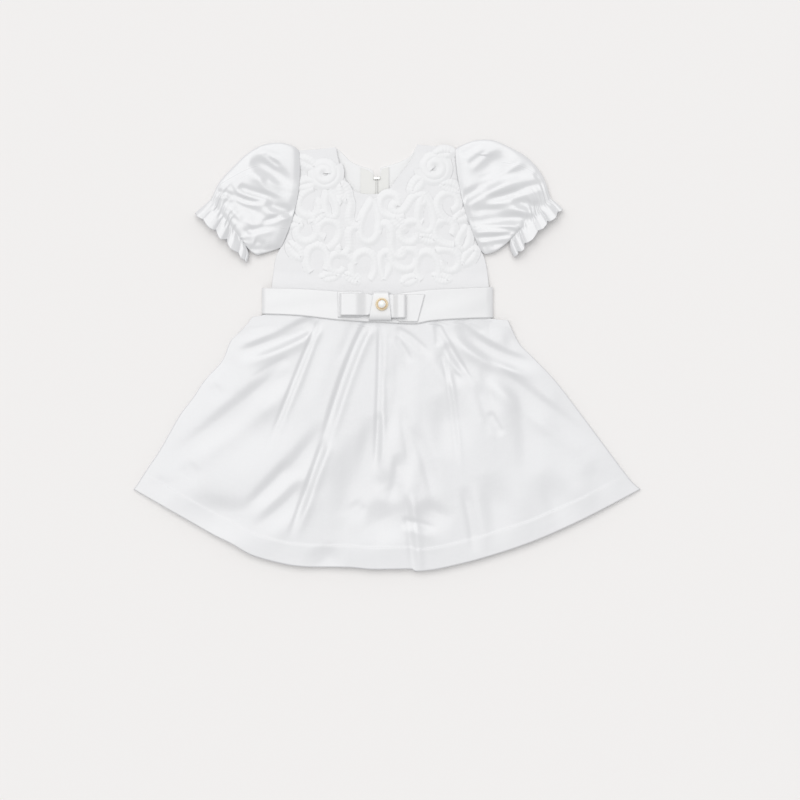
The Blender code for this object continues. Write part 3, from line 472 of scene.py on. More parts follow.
def only_near(x, y, fold, reach):
    """The part of the grid that a fold can touch, as slices, which saves most of the work."""
    xs, ys = (fold.x0, fold.x1, fold.x2), (fold.y0, fold.y1, fold.y2)
    inside = (x > min(xs) - reach) & (x < max(xs) + reach) & (y > min(ys) - reach) & (y < max(ys) + reach)
    rows, cols = np.where(inside.any(axis=1))[0], np.where(inside.any(axis=0))[0]
    if not len(rows):
        return None
    return slice(rows[0], rows[-1] + 1), slice(cols[0], cols[-1] + 1)


def fold_heights(x, y, fold, gentle):
    """What one fold adds, as a valley and as a ridge. A wide fold fades over more of its length."""
    valley, ridge = np.zeros_like(x), np.zeros_like(x)
    part = only_near(x, y, fold, 6 * fold.width + 6)
    if part is None:
        return valley, ridge
    ends = (fold.x0, fold.y0), (fold.x2, fold.y2)
    aside, t = beside_line(x[part], y[part], ends, (fold.x1, fold.y1))
    aside = aside * fold.side
    start = min(FADE + FADE_PER_WIDTH * fold.width, MOST_FADE)
    fade = ramp(t, 0.0, start) * (1 - ramp(t, FADE_END - start, 1.0))
    wide = np.where(aside < 0, fold.width, gentle * fold.width)
    valley[part] = -fold.depth * fade * np.exp(-((aside / wide) ** 2))
    crest = (aside - CREST_AWAY * gentle * fold.width) / (CREST_WIDTH * gentle * fold.width)
    ridge[part] = fold.lift * fade * np.exp(-(crest**2))
    return valley, ridge


def fold_sums(x, y, folds, gentle=GENTLE):
    """What many folds add together, as valleys and as ridges."""
    heights = [fold_heights(x, y, fold, gentle) for fold in folds]
    return sum(valley for valley, _ in heights), sum(ridge for _, ridge in heights)


# %% [markdown]
# ## The skirt
# The skirt is a wide piece pleated into the waist and turned up at the hem. Its outline was measured from
# the photograph. The main folds run as in the solid, some of them narrower and deeper, and a second table
# adds the creases that only show as lines of light.

# %% Outline of the skirt, in millimetres
SKIRT_LEFT = (
    (-131.0, 54.4), (-131.8, 49.0), (-133.4, 44.6), (-148.0, 42.0), (-152.0, 36.0), (-161.5, 26.0),
    (-171.5, 16.0), (-178.0, 0.5), (-182.5, -8.0), (-200.0, -27.0), (-213.5, -47.0), (-227.5, -65.5),
    (-249.5, -104.0), (-263.0, -124.0), (-275.0, -142.5), (-278.5, -147.0),
)
SKIRT_RIGHT = (
    (112.0, 54.4), (112.4, 47.0), (113.2, 40.6), (118.0, 39.5), (133.0, 38.6), (137.5, 28.0),
    (146.5, 11.5), (157.5, 0.5), (169.5, -11.5), (185.0, -28.0), (201.5, -49.0), (218.0, -71.0),
    (234.5, -93.0), (257.5, -124.0), (269.5, -139.0), (278.5, -147.0),
)
HEM = (
    (-278.5, -147.0), (-244.0, -166.5), (-216.5, -182.0), (-189.0, -197.5), (-170.5, -206.5),
    (-150.5, -218.0), (-128.5, -225.0), (-106.5, -230.0), (-84.5, -232.0), (-40.5, -232.5),
    (-18.5, -234.5), (3.5, -234.5), (27.5, -234.0), (31.0, -237.0), (47.5, -235.5), (64.0, -232.5),
    (102.5, -223.0), (157.5, -205.0), (212.5, -181.0), (278.5, -147.0),
)
HEM_STEP = (12, 13)  # the rows where the lap makes a corner in the hem
CLOSER_AT_WAIST = 1.12


def skirt_plan(cols, rows):
    """Plan points of a skirt panel with the shares across and down, closer together near the waist."""
    u = np.linspace(0, 1, cols)
    v = np.linspace(0, 1, rows) ** CLOSER_AT_WAIST
    edges = []
    for outline, sharp in ((SKIRT_LEFT, (2, 3)), (SKIRT_RIGHT, (2, 4))):
        outline = np.array(outline)
        edges.append(smooth_curve(shares(-outline[:, 1]), outline, v, sharp))
    left, right = edges
    top = left[0] + (right[0] - left[0]) * u[:, None]
    hem = np.array(HEM)
    low = smooth_curve(shares(hem[:, 0]), hem, u, HEM_STEP)
    return u[None, :], v[:, None], patch(u, v, top, low, left, right)


# %% Main folds of the skirt
FOLDS = [Fold(*row) for row in (
    ("pleat main", -18, 43, -45, -14, -77, -117, 3.2, 3.0, 1.3, 1),
    ("pleat main low", -68, -89, -85, -137, -109, -204, 2.9, 2.4, 1.1, 1),
    ("pleat left", -73, 43, -96, -12, -135, -111, 2.2, 1.4, 0.7, 1),
    ("pleat centre", -8, 41, -10, -43, -14, -130, 2.2, 1.1, 0.5, 1),
    ("centre soft", 10, 17, 12, -38, 1, -100, 6.8, 1.1, 0.5, 1),
    ("centre dark", 10, -106, 10, -135, -1, -172, 5.9, 1.9, 0.8, 1),
    ("shelf left", -78, 42, -119, 19, -170, 2, 4.6, 8.0, 2.8, 1),
    ("sweep left", -107, -5, -166, -58, -258, -124, 7.2, 4.4, 2.0, 1),
    ("wide left", -144, -40, -166, -80, -199, -137, 22.0, 4.6, 2.1, 1),
    ("dent left", -176, 4, -176, -20, -176, -51, 6.8, 1.4, 0.6, 1),
    ("inner left", -67, -71, -100, -117, -170, -185, 8.5, 2.4, 1.1, 1),
    ("left second", -89, -135, -112, -163, -155, -196, 6.8, 2.5, 1.1, 1),
    ("left low", -217, -152, -182, -172, -131, -166, 12.7, 3.6, 1.6, -1),
    ("pleat right", 52, 43, 72, 6, 98, -36, 2.4, 1.3, 0.5, -1),
    ("patch right", 56, -40, 65, -75, 62, -117, 13.5, 2.8, 1.3, 1),
    ("shelf right", 76, 37, 121, 4, 176, -9, 5.0, 8.6, 3.2, -1),
    ("notch right", 136, 43, 138, 24, 138, 2, 6.8, 4.3, 0.0, 1),
    ("sweep right", 96, 6, 168, -51, 263, -117, 6.3, 4.8, 2.1, -1),
    ("hollow right", 140, -14, 151, -69, 153, -144, 10.2, 3.8, 1.7, 1),
    ("wide right", 168, -49, 186, -89, 197, -137, 20.3, 3.3, 1.5, 1),
    ("column left", -38, -82, -38, -148, -51, -216, 15.2, 4.3, 1.9, 1),
    ("column inner", -16, -64, -23, -106, -38, -159, 9.3, 2.6, 1.2, 1),
    ("column right", -21, -159, -6, -183, 3, -212, 15.2, 4.3, 1.9, 1),
    ("hem crease wide", 34, -161, 52, -173, 76, -182, 9.3, 2.6, 1.2, -1),
    ("hem lap", 19, -150, 24, -192, 29, -247, 3.0, 0.8, 1.2, 1),
    ("right low one", 107, -126, 118, -166, 122, -212, 10.2, 2.1, 1.0, 1),
    ("right low two", 166, -126, 184, -161, 197, -196, 10.2, 2.1, 1.0, 1),
)]

# %% Lesser folds and creases of the skirt
CREASES = [Fold(*row) for row in (
    ("centre low", -10, -60, -11, -91, -14, -129, 2.5, 1.2, 0.6, 1),
    ("beside left", -72, 32, -82, -12, -100, -62, 5.1, 0.6, 0.3, 1),
    ("beside main", -35, 41, -43, 17, -55, -12, 5.1, 0.6, 0.3, 1),
    ("tuck wide", 8, 30, 28, 19, 51, -3, 2.9, 0.8, 0.4, -1),
    ("tuck low", 9, 24, 19, 7, 28, -9, 2.5, 0.7, 0.3, -1),
    ("centre hollow", -2, -12, 1, -49, 1, -93, 4.2, 0.7, 0.3, 1),
    ("shelf left end", -131, 37, -143, 37, -148, 24, 3.4, 0.7, 0.3, 1),
    ("above sweep", -105, -1, -127, -12, -153, -29, 3.4, 0.7, 0.3, 1),
    ("dent edge", -182, -31, -190, -39, -201, -42, 6.8, 1.4, 0.6, 1),
    ("inner left dark", -105, -115, -128, -141, -162, -174, 5.1, 1.9, 0.9, 1),
    ("left corner", -245, -130, -252, -141, -265, -148, 7.6, 1.2, 0.6, 1),
    ("left corner two", -208, -117, -219, -126, -232, -133, 6.8, 0.8, 0.4, 1),
    ("pleat right wide", 59, 13, 69, -14, 89, -31, 4.2, 1.6, 0.7, -1),
    ("pleat right wedge", 65, 15, 75, -3, 87, -18, 3.4, 1.3, 0.6, -1),
    ("right small", 53, 37, 55, 21, 56, 8, 2.9, 0.8, 0.4, 1),
    ("right line", 58, 6, 68, -45, 78, -133, 1.9, 0.4, 0.8, 1),
    ("right beside", 96, -27, 107, -58, 113, -97, 5.9, 1.2, 0.6, 1),
    ("right beside two", 102, -9, 113, -36, 124, -64, 5.9, 1.2, 0.6, 1),
    ("right notch", 111, -60, 120, -75, 128, -89, 3.4, 0.9, 0.4, -1),
    ("patch right two", 25, -75, 41, -117, 54, -172, 5.1, 1.1, 0.5, 1),
    ("line right", 15, -53, 21, -95, 28, -144, 4.2, 0.7, 0.3, 1),
    ("gather right", 78, 43, 89, 28, 105, 19, 2.2, 0.5, 0.2, -1),
    ("gather right two", 85, 43, 96, 31, 109, 26, 2.2, 0.5, 0.2, -1),
    ("column middle", -16, -130, -3, -146, -1, -163, 7.6, 1.5, 0.5, 1),
    ("column dot", -38, -159, -30, -168, -21, -172, 5.9, 1.2, 0.6, -1),
    ("hem crease", 14, -181, 34, -184, 58, -192, 3.4, 1.3, 0.6, -1),
    ("hem patch", -76, -207, -65, -223, -47, -236, 11.8, 1.9, 0.9, -1),
    ("right low line", 82, -141, 91, -181, 96, -221, 4.2, 1.2, 0.5, 1),
    ("right corner", 217, -119, 234, -135, 250, -152, 7.6, 1.2, 0.6, -1),
)]

HEM_DEPTH = 24.0  # how far the hem is turned up
HEM_STEP_HEIGHT, HEM_STEP_SOFT = 0.35, 1.5
NO_SPACE = 0.01  # stands for none where a height is divided by the space below it
RIDGE_FREE, RIDGE_GONE = 22, 38  # in y: the sash presses the ridges flat


def off_sides(u):
    """1 over most of a panel, 0 at its two sides."""
    return 1 - np.abs(2 * u - 1) ** 6


def skirt_top(x, y, u):
    """Height of the upper skin of the skirt's front."""
    spread = off_sides(u)
    free = EASE + (SKIRT_PUFF - EASE) * spread
    waist = over_sash(y)
    space = free * (1 - waist) + waist_puff(x) * waist
    valleys, ridges = fold_sums(x, y, FOLDS + CREASES)
    folds = spread * (valleys + ridges * (1 - ramp(y, RIDGE_FREE, RIDGE_GONE)))
    settled = space * np.exp(np.minimum(folds, 0) / np.maximum(space, NO_SPACE))
    return front_floor(y) + CLOTH + settled + np.maximum(folds, 0)


def above_hem(plan):
    """How far each point is above the lower edge."""
    hem = np.array(HEM)
    return plan[..., 1] - np.interp(plan[..., 0], hem[:, 0], hem[:, 1])


def make_skirt_front():
    """The upper and the under skin of the skirt's front."""
    skins = []
    for cols, rows, sunk in ((301, 241, 0.0), (101, 81, 1.0)):
        u, _, plan = skirt_plan(cols, rows)
        z = skirt_top(plan[..., 0], plan[..., 1], u)
        turned_up = 1 - ramp(above_hem(plan), HEM_DEPTH - HEM_STEP_SOFT, HEM_DEPTH + HEM_STEP_SOFT)
        z = z + HEM_STEP_HEIGHT * turned_up * off_sides(u)
        z = np.maximum(z - sunk, front_floor(plan[..., 1]) + (0.0 if sunk else CLOTH))
        skins.append(np.dstack([plan, z]))
    return skins


skirt_skins = make_skirt_front()
keep_shell("skirt_front", skirt_skins, SKIRT_SATIN)
print("skirt front area", round(areas["skirt_front"], 4), "m2")

# %% [markdown]
# The back of the skirt lies flat on the floor. Its underside stays down, and only its upper skin, which
# hardly shows, has the lie of the cloth.

# %% The skirt's back
BACK_THINNER, BACK_UNEVEN = 0.3, 0.25


def make_skirt_back():
    """The upper and the under skin of the skirt's back."""
    u, v, plan = skirt_plan(121, 91)
    under = back_under(plan[..., 1])
    soft = BACK_UNEVEN * np.sin(plan[..., 0] / 23.0 + plan[..., 1] / 31.0) * off_sides(u)
    top = under + CLOTH - BACK_THINNER + soft * ramp(v, 0.25, 0.5)
    return np.dstack([plan, top]), np.dstack([plan, under])


keep_shell("skirt_back", make_skirt_back(), SKIRT_SATIN)

# %% [markdown]
# ## The bodice
# The front is one cut of satin under a net. A panel hangs from the shoulder and neck to the waist, so the
# grid has a curve for its neckline and shoulders, a bowed line for each armhole and a straight waist.

# %% Plan of the bodice
Armhole = namedtuple("Armhole", "shoulder underarm bow")
ARMHOLE_LEFT = Armhole((-97.0, 225.0), (-116.5, 118.5), 8.0)
ARMHOLE_RIGHT = Armhole((75.0, 227.0), (102.5, 116.0), -6.0)
SIDE_LEFT = ((-121.5, 109.5), (-124.5, 94.0), (-126.5, 74.0), (-127.5, WAIST_Y))
SIDE_RIGHT = ((106.5, 108.5), (110.0, 94.0), (112.0, 74.0), (113.5, WAIST_Y))
ZIP_X = -11.25
Column = namedtuple("Column", "top_x top_y waist_x")
FRONT_COLUMNS = [Column(*row) for row in (
    (-97.0, 225.0, -127.5), (-76.0, 226.5, -103.5), (-56.0, 228.5, -78.0), (-54.0, 217.5, -67.0),
    (-50.5, 204.0, -58.5), (-44.0, 190.0, -46.0), (-37.5, 182.0, -36.5), (-28.5, 178.0, -27.5),
    (-15.5, 177.0, -14.5), (-2.0, 179.0, -2.0), (5.5, 186.5, 7.5), (14.5, 198.5, 17.5),
    (23.0, 209.5, 27.5), (29.5, 220.5, 38.5), (33.0, 231.5, 50.5), (54.0, 229.5, 80.5),
    (75.0, 227.0, 113.5),
)]
BACK_LEFT_COLUMNS = [Column(*row) for row in (
    (-97.0, 225.0, -127.5), (-76.0, 226.5, -103.5), (-56.0, 228.0, -73.5), (-50.5, 224.0, -65.0),
    (-40.5, 214.0, -49.5), (-29.5, 208.5, -35.0), (-18.5, 205.0, -22.0), (-15.0, 202.0, -17.5),
    (-14.5, 196.5, -14.5), (ZIP_X - SEAM / 2, 194.0, ZIP_X - SEAM / 2),
)]
BACK_RIGHT_COLUMNS = [Column(*row) for row in (
    (ZIP_X + SEAM / 2, 194.0, ZIP_X + SEAM / 2), (-7.5, 196.5, -7.5), (-7.5, 206.5, -3.5),
    (3.5, 209.5, 7.5), (14.5, 213.0, 18.5), (25.5, 219.5, 32.0), (33.0, 231.0, 47.5),
    (54.0, 229.5, 80.5), (75.0, 227.0, 113.5),
)]
NECK_CORNERS = {"front": (2, 14), "left": (2, 8), "right": (1, 2, 6)}


def bodice_side(armhole, side, v):
    """Edge of a bodice panel at the shares v of the way from shoulder to waist."""
    (x0, y0), (x1, y1) = armhole.shoulder, armhole.underarm
    y = y0 + (WAIST_Y - y0) * v
    t = np.clip((y0 - y) / (y0 - y1), 0, 1)
    hole = np.column_stack([x0 + (x1 - x0) * t + 4 * armhole.bow * t * (1 - t), y0 + (y1 - y0) * t])
    seam = np.array((armhole.underarm, *side))
    return np.where((y > y1)[:, None], hole, smooth_curve(-seam[:, 1], seam, -y))


def bodice_plan(columns, corners, left, right, cols, rows):
    """Plan points of a bodice panel, with the shares across and down."""
    u, v = np.linspace(0, 1, cols), np.linspace(0, 1, rows)
    knots = shares([c.waist_x for c in columns])
    top = smooth_curve(knots, [(c.top_x, c.top_y) for c in columns], u, corners)
    waist_x = columns[0].waist_x + (columns[-1].waist_x - columns[0].waist_x) * u
    low = np.column_stack([waist_x, np.full(cols, WAIST_Y + SEAM / 2)])
    edges = []
    for line, start, end in ((left, top[0], low[0]), (right, top[-1], low[-1])):
        edges.append(start + (end - start) * v[:, None] if line is None else bodice_side(*line, v))
        edges[-1][[0, -1]] = start, end
    return u[None, :], v[:, None], patch(u, v, top, low, *edges)


def net_height(x, y, u, v):
    """Height of the net over the bodice's front."""
    rise = SHOULDER_PUFF + (BODICE_PUFF - SHOULDER_PUFF) * ramp(v, 0.0, 0.35)
    waist = near_waist(y)
    free = rise * (1 - (2 * u - 1) ** 4)
    return front_floor(y) + EASE + free * (1 - waist) + (waist_puff(x) - EASE) * waist + CLOTH


# %% [markdown]
# The ribbon work is satin ribbon, gathered to a soft cushion and sewn down along both edges. It runs in
# roses, leaves, drops and curls. Each motif is one line drawn by a rule, then placed, turned and sized from
# a table; the layout is this dress's own.

# %% Lines of the ribbon work
Motif = namedtuple("Motif", "kind x y size turn hand")
MOTIFS = [Motif(*row) for row in (
    ("rose", -67, 198, 14, 0, 1), ("rose", 52, 204, 15, 40, -1), ("leaf", -87, 211, 9, 60, 1),
    ("leaf", -88, 188, 10, 100, 1), ("leaf", -47, 178, 9, 20, 1), ("leaf", 33, 187, 9, -35, -1),
    ("leaf", 70, 184, 10, 70, -1), ("leaf", 62, 222, 8, 95, 1), ("curl", -86, 166, 14, 200, 1),
    ("drop", -62, 166, 15, 10, 1), ("scroll", -41, 158, 15, 80, 1), ("drop", -18, 148, 24, -8, 1),
    ("curl", 4, 163, 14, 20, -1), ("scroll", 24, 166, 15, 60, -1), ("drop", 42, 156, 21, 6, -1),
    ("curl", 65, 164, 14, -30, -1), ("leaf", 84, 154, 10, 120, -1), ("leaf", -104, 146, 9, 80, 1),
    ("curl", -86, 138, 14, 150, -1), ("curl", -62, 134, 14, 30, 1), ("leaf", -75, 152, 8, 130, 1),
    ("scroll", -41, 126, 14, 95, -1), ("leaf", 13, 145, 8, 40, 1), ("scroll", 5, 126, 17, 85, 1),
    ("curl", 25, 136, 13, 160, 1), ("leaf", 45, 128, 8, 75, 1), ("curl", 63, 134, 14, 0, -1),
    ("drop", 85, 130, 13, -15, 1), ("leaf", -100, 114, 9, 40, 1), ("arch", -76, 106, 14, 5, 1),
    ("curl", -51, 102, 13, 120, 1), ("arch", -25, 98, 15, -6, 1), ("leaf", -38, 84, 8, 60, 1),
    ("drop", -2, 98, 15, 175, 1), ("curl", 20, 104, 14, -60, 1), ("arch", 44, 98, 15, 8, -1),
    ("leaf", 25, 82, 8, 110, -1), ("curl", 68, 105, 13, 200, -1), ("leaf", 90, 108, 10, 140, -1),
    ("leaf", -62, 86, 8, 100, 1), ("leaf", 60, 84, 8, 75, -1),
)]


def ribbon_line(kind, samples=64):
    """The middle line of a motif's ribbon, within one unit of its middle."""
    t = np.linspace(0, 1, samples)
    if kind == "rose":
        angle = 2 * math.pi * 2.1 * t
        line = np.column_stack([np.cos(angle), np.sin(angle)]) * (0.28 + 0.72 * t)[:, None]
    elif kind == "drop":
        angle = 2 * math.pi * t
        line = np.column_stack([0.55 * np.sin(angle) * np.sin(angle / 2), np.cos(angle)])
    elif kind == "leaf":
        angle = 2 * math.pi * t
        line = np.column_stack([0.42 * np.sin(angle), np.cos(angle) * np.abs(np.cos(angle)) ** 0.3])
    elif kind == "arch":
        angle = math.pi * (1.25 - 1.5 * t)
        line = np.column_stack([0.72 * np.cos(angle), np.sin(angle)])
    else:
        heading = 4.4 * (2 * t - 1) ** 2 if kind == "scroll" else 5.4 * t**1.5
        line = np.cumsum(np.column_stack([np.cos(heading), np.sin(heading)]), axis=0)
    line = line - (line.max(axis=0) + line.min(axis=0)) / 2
    return line / np.abs(line).max()


def placed_line(motif):
    """A motif's ribbon line at its place on the bodice."""
    line = ribbon_line(motif.kind) * (motif.size * motif.hand, motif.size)
    angle = math.radians(motif.turn)
    turn = np.array([(math.cos(angle), math.sin(angle)), (-math.sin(angle), math.cos(angle))])
    return line @ turn + (motif.x, motif.y)


# %% The bodice's front
BODICE_SIDES = (ARMHOLE_LEFT, SIDE_LEFT), (ARMHOLE_RIGHT, SIDE_RIGHT)
NET_UNEVEN = 0.22
NET = cloth_material("ribbon_net", (0.800, 0.798, 0.808), 0.62, threads=900.0, wave_size=70.0,
                     wave_height=0.7, bump=0.6, Sheen_Weight=0.35)
RIBBON_SATIN = cloth_material("ribbon_work", (0.812, 0.812, 0.820), 0.42, threads=3000.0, wave_size=160.0,
                              wave_height=0.5, bump=0.5, Sheen_Weight=0.2)


def make_bodice_front():
    """The upper and the under skin of the bodice's front, a little uneven where it lies free."""
    skins = []
    for cols, rows, sunk in ((221, 171, 0.0), (75, 57, 0.9)):
        u, v, plan = bodice_plan(FRONT_COLUMNS, NECK_CORNERS["front"], *BODICE_SIDES, cols, rows)
        x, y = plan[..., 0], plan[..., 1]
        z = net_height(x, y, u, v) - sunk
        soft = NET_UNEVEN * np.sin(x / 6.3 + 1.3 * np.sin(y / 9.0)) * np.sin(y / 7.1 + np.sin(x / 11.0))
        edge = (1 - (2 * u - 1) ** 8) * ramp(v, 0, 0.06)
        skins.append(np.dstack([plan, z + soft * edge * (1 - near_waist(y))]))
    return skins


bodice_skins = make_bodice_front()
keep_shell("bodice_front", bodice_skins, NET, name="bodice_front_net")
print("bodice front area", round(areas["bodice_front"], 4), "m2")

# %% [markdown]
# A Geometry Nodes tree can lay a ribbon along every line at once. Each line becomes a curve on the net.
# The tree sweeps a thin cushion profile along it, gathers it with small waves and joins the result to one
# mesh. Its sizes are named inputs, so that the width or the gathers can be changed by hand.

# %% A tree that lays ribbon along curves


def new_tree(name, sizes):
    """A geometry tree with named sizes and a finish; returns it with the sockets that it is given."""
    tree = bpy.data.node_groups.new(name, "GeometryNodeTree")
    tree.interface.new_socket("Geometry", in_out="INPUT", socket_type="NodeSocketGeometry")
    for label, size in sizes.items():
        socket = tree.interface.new_socket(label, in_out="INPUT", socket_type="NodeSocketFloat")
        socket.default_value = size
    tree.interface.new_socket("Finish", in_out="INPUT", socket_type="NodeSocketMaterial")
    tree.interface.new_socket("Geometry", in_out="OUTPUT", socket_type="NodeSocketGeometry")
    return tree, tree.nodes.new("NodeGroupInput").outputs


def end_tree(tree, given, geometry):
    """Every tree ends in real geometry with its material."""
    real = add_node(tree, "GeometryNodeRealizeInstances", Geometry=geometry).outputs[0]
    smooth = add_node(tree, "GeometryNodeSetShadeSmooth", Geometry=real).outputs[0]
    paint = add_node(tree, "GeometryNodeSetMaterial", Geometry=smooth, Material=given["Finish"])
    add_node(tree, "NodeGroupOutput", Geometry=paint.outputs[0])


def ribbon_tree():
    """Sweeps a soft cushion along each line and gathers it with small waves."""
    tree, given = new_tree("Ribbon along a line", {
        "Width": 0.005, "Thickness": 0.0006, "Bend": 0.0008,
        "Gather height": 0.0004, "Gather length": 0.0035})
    maths = sums(tree)
    profile = add_node(tree, "GeometryNodeCurvePrimitiveCircle", Resolution=20, Radius=0.5).outputs[0]
    place = tree.nodes.new("GeometryNodeInputPosition").outputs[0]
    split = add_node(tree, "ShaderNodeSeparateXYZ", Vector=place).outputs
    # Half a turn of a cosine each side makes a soft cushion whose edges run out flat on the net.
    cushion = maths("SUBTRACT", 1.0, maths("COSINE", maths("MULTIPLY", split["X"], 2 * math.pi)))
    drop = maths("MULTIPLY", cushion, maths("MULTIPLY", given["Bend"], 0.5))
    # The sweep turns the profile's Y axis to point down, so a drop is added.
    flat = add_node(tree, "ShaderNodeCombineXYZ", X=maths("MULTIPLY", split["X"], given["Width"]),
                    Y=maths("ADD", maths("MULTIPLY", split["Y"], given["Thickness"]), drop)).outputs[0]
    shaped = add_node(tree, "GeometryNodeSetPosition", Geometry=profile, Position=flat).outputs[0]
    upright = add_node(tree, "GeometryNodeSetCurveNormal", mode="Z_UP", Curve=given["Geometry"]).outputs[0]
    # The way along the ribbon is kept on its points, so that the gathers can follow it.
    keep = tree.nodes.new("GeometryNodeCaptureAttribute")
    keep.capture_items.new("FLOAT", "Along")
    tree.links.new(upright, keep.inputs["Geometry"])
    tree.links.new(tree.nodes.new("GeometryNodeSplineParameter").outputs["Length"], keep.inputs["Along"])
    sweep = add_node(tree, "GeometryNodeCurveToMesh", Fill_Caps=True, Curve=keep.outputs["Geometry"],
                     Profile_Curve=shaped).outputs[0]
    turns = maths("DIVIDE", maths("MULTIPLY", keep.outputs["Along"], 2 * math.pi), given["Gather length"])
    wave = maths("MULTIPLY", maths("SINE", turns), given["Gather height"])
    up = add_node(tree, "ShaderNodeCombineXYZ", Z=wave).outputs[0]
    gathered = add_node(tree, "GeometryNodeSetPosition", Geometry=sweep, Offset=up)
    end_tree(tree, given, gathered.outputs[0])
    return tree


# %% Turning lines into pieces


def curve_object(name, lines, closed=False):
    """A curve object with one poly spline for each array of millimetre points."""
    data = bpy.data.curves.new(name, "CURVE")
    data.dimensions = "3D"
    for line in lines:
        spline = data.splines.new("POLY")
        spline.points.add(len(line) - 1)
        spline.points.foreach_set("co", np.column_stack([np.asarray(line) * MM, np.ones(len(line))]).ravel())
        spline.use_cyclic_u = closed
    curve = bpy.data.objects.new(name, data)
    scene.collection.objects.link(curve)
    return curve


def grown(name, source, tree, finish, sizes):
    """Runs a tree on an object and keeps the result as a plain mesh."""
    modifier = source.modifiers.new("grow", "NODES")
    modifier.node_group = tree
    sockets = {s.name: s.identifier for s in tree.interface.items_tree if s.in_out == "INPUT"}
    modifier[sockets["Finish"]] = finish
    for label, value in sizes.items():
        modifier[sockets[label]] = value
    evaluated = source.evaluated_get(bpy.context.evaluated_depsgraph_get())
    mesh = bpy.data.meshes.new_from_object(evaluated)
    mesh.name = name
    piece = bpy.data.objects.new(name, mesh)
    scene.collection.objects.link(piece)
    bpy.data.objects.remove(source)
    print(f"{name}: {len(mesh.polygons)} faces")
    return piece


# %% The ribbon work
RIBBON_LIFT = 0.88
ROSE_RISE = 0.9  # how much higher a rose's middle is


def height_on(grid, points):
    """Height of a grid below each plan point, from its nearest point."""
    flat = grid.reshape(-1, 3)
    return np.array([flat[np.argmin((flat[:, 0] - x) ** 2 + (flat[:, 1] - y) ** 2), 2] for x, y in points])


def eased(heights, span=5):
    """Heights smoothed along their line."""
    return np.convolve(np.pad(heights, span // 2, mode="edge"), np.ones(span) / span, mode="valid")


def ribbon_lines():
    """The middle line of every motif's ribbon, lying on the net."""
    lines = []
    for motif in MOTIFS:
        line = placed_line(motif)
        rise = 1 - near_waist(line[:, 1])
        height = eased(height_on(bodice_skins[0], line)) + RIBBON_LIFT * (0.5 + 0.5 * rise)
        if motif.kind == "rose":
            from_middle = np.hypot(line[:, 0] - motif.x, line[:, 1] - motif.y) / motif.size
            height = height + ROSE_RISE * (1 - np.clip(from_middle, 0, 1) ** 2)
        lines.append(np.column_stack([line, height]))
    return lines


ribbon_sizes = {"Width": 0.0125, "Thickness": 0.0003, "Bend": 0.0011, "Gather height": 0.0001}
ribbons = grown("bodice_ribbon_work", curve_object("ribbon lines", ribbon_lines()), ribbon_tree(),
                RIBBON_SATIN, ribbon_sizes)

# %% [markdown]
# The back of the bodice is two cuts that meet at the zip. Inside the neck their plain side shows, with the
# tapes of the zip on it.

# %% The bodice's back
BACK_LINING = cloth_material("back_satin", (0.835, 0.835, 0.838), 0.5, wave_size=40.0, wave_height=0.5,
                             Sheen_Weight=0.2)


def make_bodice_back(node, columns, corners, left, right):
    """One cut of the bodice's back, whose plan is bounded by a side seam and by the zip."""
    plan = bodice_plan(columns, corners, left, right, cols=71, rows=91)[2]
    under = back_under(plan[..., 1])
    top = under + CLOTH - 0.1 + 0.1 * np.sin(plan[..., 0] / 9.0)
    keep_shell(node, [np.dstack([plan, top]), np.dstack([plan, under])], BACK_LINING)


make_bodice_back("bodice_back_left", BACK_LEFT_COLUMNS, NECK_CORNERS["left"], BODICE_SIDES[0], None)
make_bodice_back("bodice_back_right", BACK_RIGHT_COLUMNS, NECK_CORNERS["right"], None, BODICE_SIDES[1])

# %% [markdown]
# ## The puff sleeves
# A puff sleeve is a wide cap gathered into the armhole and again by elastic at the cuff, and the cloth runs
# on past the elastic as a frill. Each row of the table is one line across the sleeve. The fine gathers are
# waves round each ring, and the longer folds run between the armhole and the cuff.

# %% Lines across each sleeve
Station = namedtuple("Station", "top_x top_y low_x low_y bow height gather wave")
SLEEVE_LEFT = [Station(*row) for row in (
    (-96.6, 225.0, -116.2, 118.3, 8.0, 5.2, 0.0, 0.0), (-103.0, 230.0, -124.6, 115.0, 7.0, 7.8, 0.0, 0.0),
    (-116.5, 233.5, -131.0, 113.0, 4.0, 8.9, 0.0, 0.0), (-134.5, 231.5, -136.5, 111.5, 1.0, 9.7, 0.0, 0.0),
    (-152.5, 222.0, -142.0, 110.0, -3.0, 10.2, 0.1, 0.0),
    (-169.0, 206.5, -146.0, 111.5, -4.0, 10.3, 0.3, 0.0),
    (-184.0, 190.0, -150.5, 115.0, -3.0, 9.9, 0.6, 0.0), (-193.5, 171.0, -154.0, 119.0, 0.0, 8.2, 0.8, 0.0),
    (-202.0, 163.5, -151.5, 110.5, 0.0, 9.2, 1.3, 0.8), (-211.0, 156.0, -153.5, 101.5, 2.0, 10.4, 1.6, 1.8),
)]
SLEEVE_RIGHT = [Station(*row) for row in (
    (74.6, 227.0, 102.2, 115.8, -6.0, 5.2, 0.0, 0.0), (84.5, 232.0, 107.5, 111.0, -5.0, 7.8, 0.0, 0.0),
    (99.0, 236.3, 112.5, 111.5, -3.0, 8.9, 0.0, 0.0), (117.0, 236.0, 118.0, 113.5, 0.0, 9.7, 0.0, 0.0),
    (136.5, 227.5, 122.5, 116.0, 4.0, 10.2, 0.1, 0.0), (154.5, 216.5, 126.5, 119.0, 6.0, 10.3, 0.3, 0.0),
    (170.5, 197.5, 131.0, 122.5, 4.0, 9.9, 0.6, 0.0), (180.0, 172.0, 134.5, 126.0, 0.0, 8.2, 0.8, 0.0),
    (186.5, 167.0, 135.0, 117.5, 0.0, 9.2, 1.3, 0.8), (193.0, 160.5, 139.5, 107.5, -2.0, 10.4, 1.6, 1.8),
)]
CUFF = 7  # the station at the elastic

